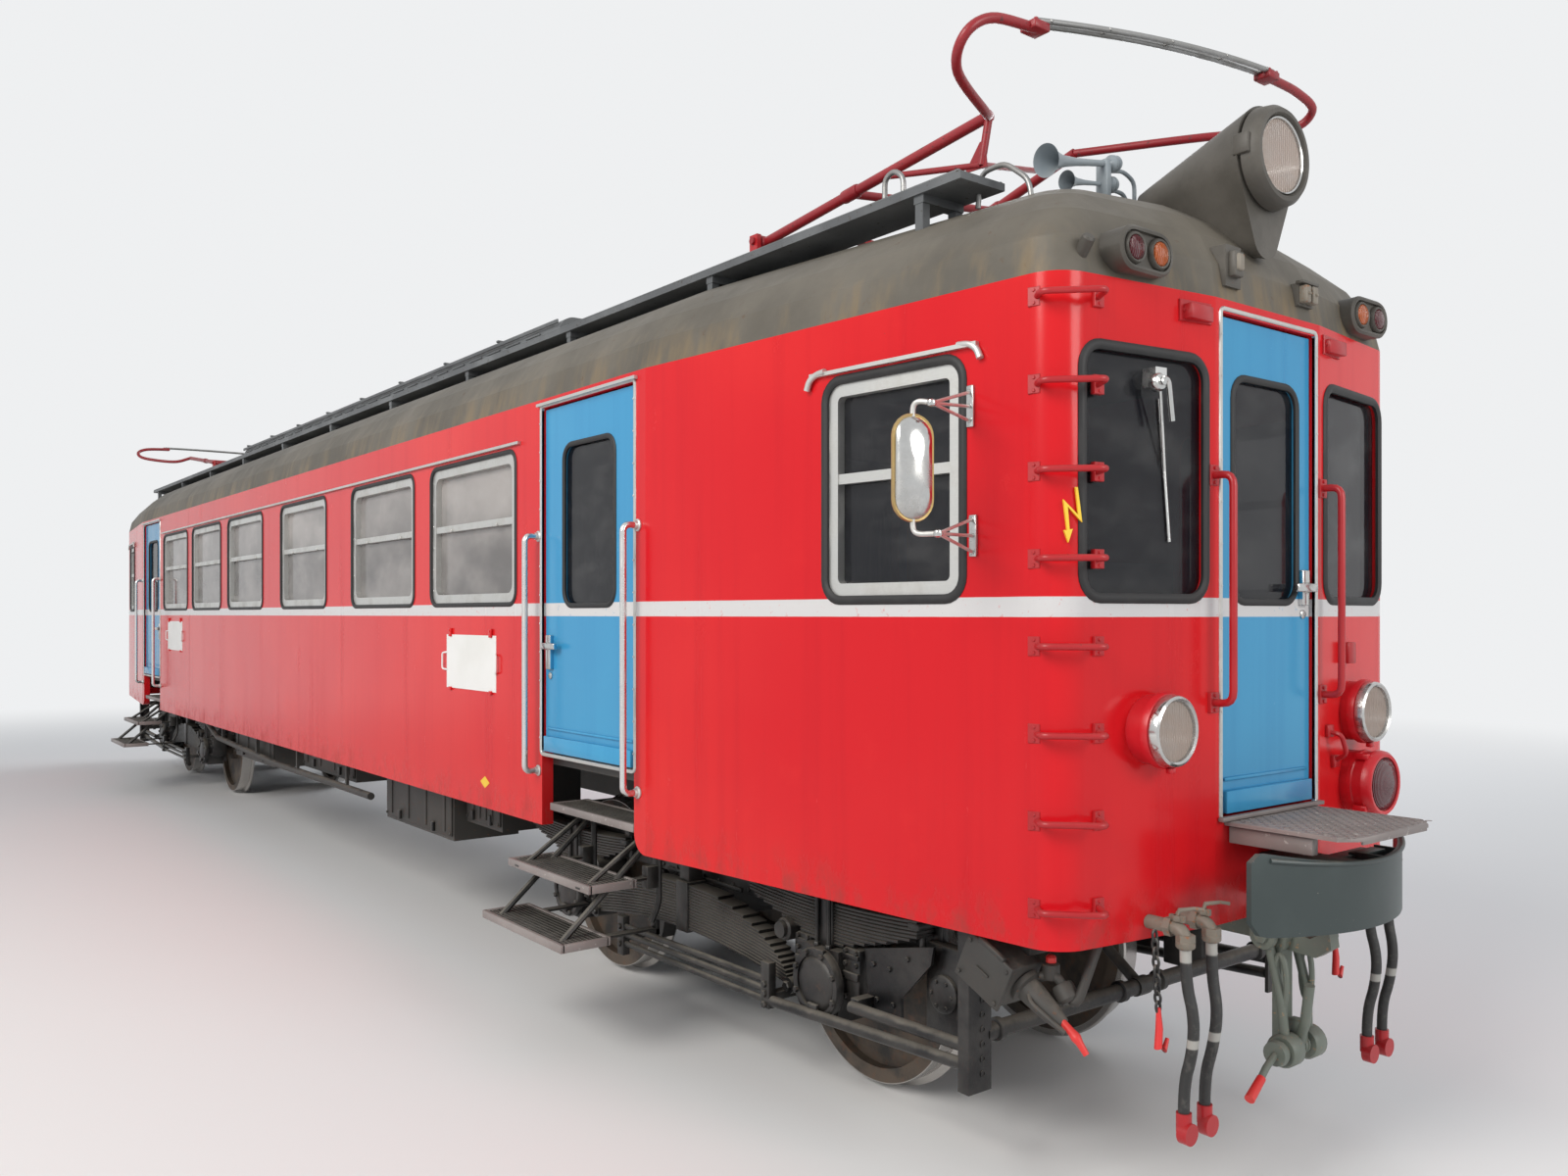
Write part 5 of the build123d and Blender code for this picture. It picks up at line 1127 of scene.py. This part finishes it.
for x in (centreX - 0.3, centreX + 0.3):
    gratings += [tube([(x, 1.02, 0.995), (x, 1.02, 0.64), (x, 1.06, 0.56)], 0.015, 8, 0.03),
                 tube([(x, 1.05, 0.985), (x, 1.4, 0.755)], 0.013, 8),
                 tube([(x, 1.04, 0.95), (x, 1.52, 0.53)], 0.015, 8)]
    gratings += blocks((x, 1.25, 0.762, 0.044, 0.36, 0.012, 0.002),
                       (x, 1.3, 0.531, 0.044, 0.48, 0.012, 0.002),
                       (x, 1.06, 1, 0.05, 0.15, 0.012, 0.003), (x, 1.065, 0.765, 0.048, 0.06, 0.1, 0.004))
    gratings += bolts([(x, *place) for place in treads["bolts"]], (0, 0, -1), 0.01, 0.01)
makePiece("side_step_frames", "car", "step_metal", bothEnds(mirrored(frames)), "iron",
          replaces=("side_steps",))
makePiece("side_step_gratings", "car", "iron", bothEnds(mirrored(gratings)))


# Ends below the floor: curved buffer plate, chequered step, coupling, jumper, chains and cocks
def curvedPlate(front, thickness):
    # a grid of points, and the same grid moved by the thickness along -X, joined round its edge
    rows, columns = front.shape[:2]
    back = front - (thickness, 0, 0)
    both = np.concatenate([front.reshape(-1, 3), back.reshape(-1, 3)])
    near = gridFaces(rows, columns)
    count = rows * columns
    index = np.arange(count).reshape(rows, columns)
    edge = np.concatenate([index[0, :-1], index[:-1, -1], index[-1, :0:-1], index[:0:-1, 0]])
    following = np.roll(edge, -1)
    sides = np.stack([edge, following, following + count, edge + count], 1).tolist()
    return both, near + [[i + count for i in face] for face in near] + sides


buffer = {"halfY": 0.47, "faceX": 8.08, "curve": 0.747, "low": 0.935, "corner": 0.045, "thick": 0.017,
          "middleY": 0.06}
y = np.linspace(-1, 1, 41) * buffer["halfY"]
t = np.linspace(0, 1, 11)[:, None]
offset = y - buffer["middleY"]
upper = 1.15 + 0.12 * offset ** 2 + np.where(offset < 0, 0.022 * (offset / 0.53) ** 2, 0)
nearEdge = np.maximum(np.abs(y) - (buffer["halfY"] - buffer["corner"]), 0) / buffer["corner"]
drop = buffer["corner"] * (1 - np.sqrt(np.maximum(1 - nearEdge ** 2, 0)))
lower = buffer["low"] + drop
front = np.stack(np.broadcast_arrays(buffer["faceX"] - buffer["curve"] * y ** 2, y, lower
                                     + (upper - drop * 0.8 - lower) * t), -1)
bufferForms = mirrored(blocks((7.96, 0.3, 1.06, 0.09, 0.012, 0.16, 0.003),
                              (8, 0.12, 1.06, 0.12, 0.012, 0.16, 0.003),
                              (7.94, 0.2, 1.13, 0.05, 0.16, 0.01, 0.003)))
bufferForms += blocks((7.87, 0, 1.085, 0.06, 0.7, 0.06, 0.005), (7.88, 0, 1.05, 0.355, 0.16, 0.15, 0.008))
y = np.linspace(-0.42, 0.42, 25)
edgeLine = np.stack([buffer["faceX"] + 0.002 - buffer["curve"] * y ** 2, y, 1.148
                     + 0.12 * (y - buffer["middleY"]) ** 2], 1)
bufferForms += [curvedPlate(front, buffer["thick"]), tube(edgeLine, 0.008, 8)]
makePiece("buffer_plates", "car", "buffer_green", bothEnds(bufferForms), "black_paint", replaces=("buffers",))

endStep = {"z": 1.253,
           "ridge": [(-0.011, 0), (-0.004, -0.0028), (0.004, -0.0028), (0.011, 0), (0.004, 0.0028),
                     (-0.004, 0.0028)],
           "outline": [(7.702, -0.282), (8.09, -0.282), (8.14, -0.212), (8.14, 0.212), (8.09, 0.282),
                       (7.702, 0.282)]}
stepForms = [slab(((0, 0, endStep["z"] - 0.01), forwards, leftwards, upwards), endStep["outline"], -0.004,
                  0.01, 0.003)]
stepForms += blocks((7.85, 0.24, 1.206, 0.295, 0.036, 0.056, 0.004),
                    (7.85, -0.24, 1.206, 0.295, 0.036, 0.056, 0.004),
                    (8.133, 0, 1.24, 0.01, 0.42, 0.024, 0.003), (7.714, 0, 1.262, 0.022, 0.64, 0.014, 0.003))
stepForms += bolts([(x, y, 1.252) for x in (7.76, 7.9, 8.03) for y in (0.24, -0.24)], upwards, 0.01, 0.005)
columns, rows = np.meshgrid(np.arange(18), np.arange(24), indexing="ij")
for turn, odd in ((0.6, 0), (-0.6, 1)):
    chosen = (columns + rows) % 2 == odd
    places = np.stack([7.735 + 0.0225 * columns[chosen], 0.0228 * rows[chosen] - 0.262,
                       np.full(chosen.sum(), endStep["z"])], 1)
    c, sn = math.cos(turn), math.sin(turn)
    ridge = slab(((0, 0, 0), (c, sn, 0), (-sn, c, 0), upwards), endStep["ridge"], -0.0005, 0.0018, 0.0008)
    stepForms.append(copies(ridge, places))
makePiece("end_step_plates", "car", "step_metal", bothEnds(stepForms), "iron", replaces=("end_steps",))

# Coupling screw: thread wound 11 times, nuts, links and the drawhook's head
coupling = {"x": 7.8, "low": 0.47, "pinX": 7.735, "threadRadius": 0.028}
x, z, pinX = coupling["x"], coupling["low"], coupling["pinX"]
a, y = np.linspace(0, 2 * np.pi * 11, 150), np.linspace(-0.108, 0.108, 150)
thread = np.stack([x + coupling["threadRadius"] * np.cos(a), y, z + coupling["threadRadius"] * np.sin(a)], 1)
screw = mirrored([turned(collar(0.056, 0.034, 0.006, 0.008), (x, 0.07, z), leftwards, 22),
                  turned(collar(0.048, 0.012, 0.002, 0.004), (pinX, 0.1, 0.85), leftwards, 22),
                  oval((7.7875, 0.082, 0.7), (0.02, 0, -1), forwards, 0.09, 0.02, 0.01, 22),
                  *bolts([(pinX, 0.112, 0.85)], leftwards, 0.026, 0.018)])
screw += [tube(thread, 0.0045, 6),
          turned([(0.04, -0.02), (0.044, 0), (0.036, 0.02)], (x, -0.125, z), leftwards, 18),
          tube([(x, -0.135, z), (7.812, -0.215, 0.445), (7.82, -0.26, 0.42)], 0.012, 10, 0.02),
          turned(collar(0.068, 0.066), (pinX, 0, 0.865), leftwards, 26)]
screw += blocks((x, 0, 0.52, 0.06, 0.05, 0.085, 0.012), (7.745, 0, 0.85, 0.09, 0.12, 0.1, 0.02))
makePiece("coupling_details", "car", "link_olive", bothEnds(screw), "iron")
reds = [tube([(7.82, -0.255, 0.422), (7.832, -0.345, 0.378)], (0.015, 0.017), 12)]

# Hanging chains with red hooks: top and bottom of each, and the hook's line from the bottom
chains = {"rows": (((7.75, -0.736, 0.967), (7.76, -0.73, 0.72)), ((7.76, 0.316, 0.93), (7.765, 0.316, 0.76))),
          "hook": ((0, 0, 0.012), (0.006, -0.004, -0.05), (0.012, -0.018, -0.105), (0.012, 0.012, -0.118),
                   (0.012, 0.03, -0.085))}
chainForms = []
for top, bottom in chains["rows"]:
    chainForms += chain(top, bottom, 9, 0.0045)
    reds.append(tube(np.array(bottom) + chains["hook"], (0.007, 0.012, 0.013, 0.01, 0.006), 10))
makePiece("chains", "car", "iron", bothEnds(chainForms))

# Jumper: lidded box, collared neck, cable cover and red lever
jumper = {"box": (7.3, -0.935, 0.79), "turn": math.radians(25), "neck": (7.366, -0.92, 0.762),
          "tip": (7.53, -0.9, 0.65),
          "profile": [(0.052, -0.03), (0.056, -0.02), (0.056, 0), (0.048, 0.004), (0.048, 0.014),
                      (0.058, 0.018), (0.058, 0.036),
                      (0.044, 0.042), (0.04, 0.09), (0.034, 0.15), (0.024, 0.196), (0.018, 0.2)],
          "cable": ((7.42, -0.88, 0.775), (7.47, -0.86, 0.79), (7.5, -0.85, 0.74), (7.54, -0.85, 0.7),
                    (7.56, -0.82, 0.8), (7.56, -0.76, 0.9))}
c, sn, box = math.cos(jumper["turn"]), math.sin(jumper["turn"]), np.array(jumper["box"])
axes = np.array(((c, 0, -sn), (0, 1, 0), (sn, 0, c)))
lid = box + (0, -0.08, 0)
jumperForms = [block(box, (0.19, 0.15, 0.15), 0.008, axes), block(lid, (0.205, 0.014, 0.165), 0.004, axes),
               block(lid + axes[2] * 0.085, (0.12, 0.02, 0.016), 0.005, axes),
               block(lid + (0, -0.01, 0), (0.06, 0.008, 0.006), 0.002, axes),
               block(box + (0.02, 0.09, 0.06), (0.14, 0.1, 0.03), 0.005),
               turned(jumper["profile"], jumper["neck"], np.array(jumper["tip"]) - jumper["neck"], 26),
               tube(jumper["cable"], 0.016, 12, 0.05),
               turned([(0.024, -0.02), (0.028, -0.01), (0.028, 0.03), (0.02, 0.035)], (7.449, -0.862, 0.79),
                      upwards, 18),
               turned([(0.032, -0.03), (0.036, -0.02), (0.036, 0.02), (0.028, 0.03)], (7.5, -0.85, 0.735),
                      (0.6, 0, -0.8), 20),
               tube([(7.41, -0.93, 0.745), (7.45, -0.965, 0.715), (7.56, -0.93, 0.64)], 0.008, 8, 0.02)]
corners = [box + axes[0] * dx + axes[2] * dz + (0, -0.087, 0) for dx in (-0.085, 0.085)
           for dz in (-0.062, 0.062)]
jumperForms += bolts(corners, (0, -1, 0), 0.007, 0.006)
makePiece("jumper_boxes", "car", "black_paint", bothEnds(jumperForms), "iron", replaces=("jumpers",))
reds += [tube([(7.53, -0.905, 0.664), (7.59, -0.912, 0.632), (7.625, -0.905, 0.585)], (0.012, 0.017, 0.01),
              12, 0.02),
         turned([(0.012, -0.01), (0.017, 0), (0.017, 0.016), (0.01, 0.024)], (7.449, -0.862, 0.826), upwards,
                16)]
cockForms = []
for hoseName, y, sway in hoses["rows"]:
    cockForms += [turned([(0.032, -0.012), (0.032, 0.012)], (7.74, y, 0.965), forwards, 6),
                  turned([(0.03, -0.012), (0.03, 0.012)], (7.795, y, 0.938), upwards, 6),
                  turned([(0.027, -0.01), (0.03, -0.006), (0.03, 0.008), (0.026, 0.012)], (7.795, y, 0.918),
                         upwards, 20),
                  tube([(7.765, y, 0.995), (7.77, y + 0.004, 1.02), (7.8, y + 0.04, 1.026),
                        (7.82, y + 0.062, 1.022)],
                       (0.009, 0.008, 0.006, 0.006), 8),
                  turned([(0.016, -0.004), (0.019, 0), (0.019, 0.01), (0.012, 0.015)], (7.765, y, 0.99),
                         upwards, 6)]
makePiece("cock_fittings", "car", "cock_tan", bothEnds(cockForms), "iron")
makePiece("red_handles", "car", "tag_red", bothEnds(reds), "red_paint")
print("ends dressed")

# Roof: cover louvres and ribs, walkway bolts and edges, hoops, insulator sheds, collectors
walk = {"y": 0.72, "length": 14.02, "top": 3.506}
louvres = blocks(*((x, 0.434, level, 0.2, 0.012, height, 0.004) for x in np.arange(-4.05, 3.1, 0.3)
                   for level, height in ((3.69, 0.018), (3.655, 0.014), (3.725, 0.014))),
                 (-0.55, 0.432, 3.765, 7.48, 0.012, 0.026, 0.004))
ribs = blocks(*((x, 0, 3.8, 0.03, 0.84, 0.016, 0.005) for x in np.arange(-4.2, 3.2, 0.925)))
boltPlaces = [(x, walk["y"] + dy, walk["top"]) for x in np.arange(-6.95, 7, 0.2) for dy in (-0.095, 0.095)]
edges = bolts(boltPlaces, upwards, 0.008, 0.005)
edges += blocks(*((0, walk["y"] + dy, walk["top"] + 0.004, walk["length"], 0.012, 0.01, 0.003)
                  for dy in (-0.108, 0.108)))
makePiece("cover_louvres", "car", "walkway", mirrored(louvres) + ribs, "grey_paint")
makePiece("walkway_edges", "car", "walkway", mirrored(edges), "grey_paint")
hoops = [tube([(6.426, -0.65, 3.5), (6.426, -0.65, 3.68), (6.48, -0.65, 3.7), (6.534, -0.65, 3.66),
               (6.534, -0.65, 3.591)],
              0.011, 10, 0.03),
         tube([(6.93, -0.65, 3.43), (6.945, -0.65, 3.555), (7.06, -0.65, 3.56), (7.173, -0.65, 3.47),
               (7.186, -0.65, 3.39)],
              0.01, 10, 0.04),
         tube([(4.52, -0.54, 3.56), (4.7, -0.6, 3.54), (5.3, -0.58, 3.55), (5.9, -0.54, 3.56)], 0.012, 10,
              0.1)]
makePiece("roof_hoops", "car", "wire_grey", bothEnds(hoops))

shed = [(0.04, 0), (0.058, 0.004), (0.062, 0.014), (0.04, 0.022), (0.036, 0.028)]
for level in (0.036, 0.064, 0.092):
    shed += [(0.038, level), (0.066, level + 0.004), (0.068, level + 0.012), (0.046, level + 0.02)]
shed += [(0.04, 0.114), (0.05, 0.118), (0.05, 0.124)]
sheds = mirrored([turned(shed, (x, 0.54, 3.492), upwards, 28) for x in (5.9, 4.52)])
makePiece("insulator_sheds", "car", "horn_grey", bothEnds(sheds), "grey_paint")

# Collectors: pivoted arms, the lines of their right and left horns, braces and a pair of contact wires
collector = {"pivotX": 5.35, "pivotZ": 3.72, "armY": 0.45, "shaftX": 5.99, "restX": 6.76, "chordX": 6.18,
             "braceX": 6.33, "gusset": [(-0.085, -0.008), (0.03, -0.014), (0.018, 0.09), (-0.006, 0.09)],
             "lines": {"front": (((6.8, -0.45, 3.862), (6.925, -0.61, 3.8), (7.06, -0.89, 3.822),
                                  (7.15, -0.95, 3.895), (7.19, -0.86, 3.965), (7.2, -0.64, 3.99)),
                                 ((6.48, 0.45, 4.02), (6.96, 0.74, 4.015), (7.18, 1.01, 4.04),
                                  (7.285, 1.03, 4.095), (7.3, 0.88, 4.13), (7.3, 0.64, 4.135))),
                       "rear": (((6.8, -0.45, 3.925), (6.94, -0.62, 3.88), (7.09, -0.92, 3.915),
                                 (7.19, -0.98, 3.985), (7.235, -0.88, 4.045), (7.25, -0.64, 4.068)),
                                ((6.8, 0.45, 3.925), (6.94, 0.62, 3.88), (7.09, 0.92, 3.915),
                                 (7.19, 0.98, 3.985), (7.235, 0.88, 4.045), (7.25, 0.64, 4.068)))}}


def alongArm(pivot, nose, x):
    # the point of an arm's axis at a given x
    return pivot + (nose - pivot) * (x - pivot[0]) / (nose[0] - pivot[0])


for end, lines in collector["lines"].items():
    pivotX, pivotZ = collector["pivotX"], collector["pivotZ"]
    tubes = [tube([(pivotX, -0.525, pivotZ), (pivotX, 0.525, pivotZ)], 0.017, 16)]
    arms, tips = [], []
    for line, side in zip(lines, (-1, 1)):
        nose, tip = np.array(line[0]), np.array(line[-1])
        pivot = np.array((pivotX, side * collector["armY"], pivotZ))
        arms.append((pivot, nose))
        tips.append(tip + (0, side * 0.02, 0.014))
        shaft = alongArm(pivot, nose, collector["shaftX"])
        tubes += [tube([pivot, nose + (nose - pivot) * 0.004], 0.0225, 16),
                  tube(throughPoints(line), 0.018, 14),
                  turned(collar(0.034, 0.03, 0.004), pivot, leftwards, 20),
                  turned(collar(0.029, 0.05, 0.003, 0.01), shaft, nose - pivot, 18),
                  block(tip + (0, side * 0.01, -0.002), (0.072, 0.08, 0.032), 0.006)]
        tubes += bolts([tip + (dx, side * 0.01 + dy, 0.013) for dx in (-0.026, 0.026)
                        for dy in (-0.026, 0.026)],
                       upwards, 0.008, 0.006)
    right, left = arms
    rest = np.array((collector["restX"], -collector["armY"], right[1][2] - 0.178))
    tubes += [tube([right[1], rest], 0.016, 12),
              tube([alongArm(*right, collector["chordX"]), rest], 0.013, 12),
              tube([rest, alongArm(*left, collector["braceX"])], 0.013, 12),
              tube([alongArm(*arm, collector["shaftX"]) for arm in arms], 0.019, 14),
              slab((rest, forwards, upwards, leftwards), collector["gusset"], -0.004, 0.004, 0.001)]
    t = np.linspace(0, 1, 25)[:, None]
    bow = tips[0] + (tips[1] - tips[0]) * t + np.array((0.03, 0, 0.012)) * (1 - (2 * t - 1) ** 2)
    wires = [tube(bow + (step, 0, 0), 0.0105, 12) for step in (-0.02, 0.02)]
    wires += [block(bow[k], (0.066, 0.014, 0.012), 0.003) for k in (1, 6, 12, 18, 23)]
    if end == "rear":
        tubes, wires = atRear(tubes), atRear(wires)
    makePiece("contact_wires_" + end, "collector_" + end, "wire_grey", wires, "steel")
    makePiece("collector_tubes_" + end, "collector_" + end, "bow_red", tubes, "red_paint",
              replaces=("collector_" + end,))
print("roof dressed")

# Below the floor: box lids with latches, bands of the tanks and collars of the pipes
underBoxes = ((2.42, -0.81, 1.14, 0.42, 0.54), (3.27, -0.7, 0.5, 0.5, 0.42), (0.6, -0.79, 1.24, 0.46, 0.38),
              (-1.5, -0.76, 1.3, 0.52, 0.48), (1.9, 0.78, 1.5, 0.48, 0.5), (-2.3, 0.78, 0.9, 0.48, 0.42))
lids, latchForms = [], []
for x, y, length, width, height in underBoxes:
    side = 1 if y > 0 else -1
    faceY, z, half = y + side * width / 2, 1.115 - height / 2, height / 2
    lids.append(block((x, faceY + side * 0.006, z), (length - 0.04, 0.012, height - 0.05), 0.005))
    lids += [block((x + dx, faceY + side * 0.014, z), (0.03, 0.01, height - 0.09), 0.004)
             for dx in np.linspace(0.12 - length / 2, length / 2 - 0.12, 4)]
    for latchX in (x - length / 4, x + length / 4):
        latchForms += blocks((latchX, faceY + side * 0.02, z - half + 0.055, 0.03, 0.02, 0.06, 0.005),
                             (latchX, faceY + side * 0.016, z + half - 0.045, 0.08, 0.016, 0.02, 0.004))
    corners = [(x + sx * (length / 2 - 0.035), faceY + side * 0.012, z + sz * (half - 0.04))
               for sx in (1, -1) for sz in (1, -1)]
    latchForms += bolts(corners, (0, side, 0), 0.009)
latchForms += [ringForm(collar(0.176, 0.02, 0.006, 0.002), (x, y, 0.945), forwards, 32)
               for y in (0.52, 0.87) for x in (-0.9, -0.1)]
latchForms += [ringForm(collar(0.036, 0.012, 0.01, 0.002), (x, y, 1.06), forwards, 14) for y in (-1.08, 1.08)
               for x in np.arange(-4.2, 4.3, 0.7)]
makePiece("box_lids", "car", "black_paint", lids)
makePiece("box_latches", "car", "iron", latchForms)

# Stage: pale floor that glows into the sky's tone far away, and soft lights
stage = {"reach": 90, "paleSky": (0.86, 0.87, 0.88), "floor": (0.82, 0.815, 0.81), "fade": (9.0, 20.0),
         "skyLight": (0.88, 0.93, 1.0), "skyPower": 0.42}
floorMesh = bpy.data.meshes.new("floor")
corners = [(sx * stage["reach"], sy * stage["reach"], cadBounds[0][2])
           for sx, sy in ((-1, -1), (1, -1), (1, 1), (-1, 1))]
floorMesh.from_pydata(corners, [], [(0, 1, 2, 3)])
floor = bpy.data.objects.new("floor", floorMesh)
scene.collection.objects.link(floor)
s = Shader("floorPale")
x, y = s.axis("X"), s.axis("Y")
distance = s.make("ShaderNodeMath", {"operation": "SQRT"}, {0: x * x + y * y})
matt = s.make("ShaderNodeBsdfPrincipled", {}, {"Base Color": stage["floor"], "Roughness": 0.85})
glow = s.make("ShaderNodeEmission", {}, {"Color": stage["paleSky"], "Strength": 1.0})
blend = s.make("ShaderNodeMixShader", {}, {0: s.step(distance, *stage["fade"]), 1: matt, 2: glow})
s.make("ShaderNodeOutputMaterial", {}, {"Surface": blend})
floorMesh.materials.append(s.material)

# the sky: soft light on matt surfaces, and a paler tone for the camera, for reflections and through glass
scene.world = bpy.data.worlds.new("world")
s = Shader("world", scene.world)
seen = s.make("ShaderNodeLightPath", output="Is Camera Ray")
for ray in ("Is Glossy Ray", "Is Transmission Ray"):
    other = s.make("ShaderNodeLightPath", output=ray)
    seen = s.make("ShaderNodeMath", {"operation": "MAXIMUM"}, {0: seen, 1: other})
lightSky = s.make("ShaderNodeBackground", {}, {"Color": stage["skyLight"], "Strength": stage["skyPower"]})
seenSky = s.make("ShaderNodeBackground", {}, {"Color": stage["paleSky"], "Strength": 1.0})
blend = s.make("ShaderNodeMixShader", {}, {0: seen, 1: lightSky, 2: seenSky})
s.make("ShaderNodeOutputWorld", {}, {"Surface": blend})

lights = {
    "key": {"place": (7.0, -13.0, 10.0), "aim": (1.0, 0.0, 1.6), "size": 9.0, "power": 1750.0,
            "tone": (1.0, 0.97, 0.92)},
    "front": {"place": (19.0, 1.0, 6.5), "aim": (6.0, 0.0, 1.8), "size": 6.0, "power": 640.0,
              "tone": (1.0, 0.98, 0.95)},
    "back": {"place": (-6.0, 13.0, 9.0), "aim": (0.0, 0.0, 1.8), "size": 9.0, "power": 1100.0,
             "tone": (0.93, 0.96, 1.0)},
}
for lightName, row in lights.items():
    data = bpy.data.lights.new(lightName, "AREA")
    data.shape = "DISK"
    data.size = row["size"]
    data.energy = row["power"]
    data.color = row["tone"]
    light = bpy.data.objects.new(lightName, data)
    light.location = row["place"]
    light.rotation_euler = (Vector(row["aim"]) - Vector(row["place"])).to_track_quat("-Z", "Y").to_euler()
    scene.collection.objects.link(light)
print("stage lit")

bpy.context.view_layer.update()
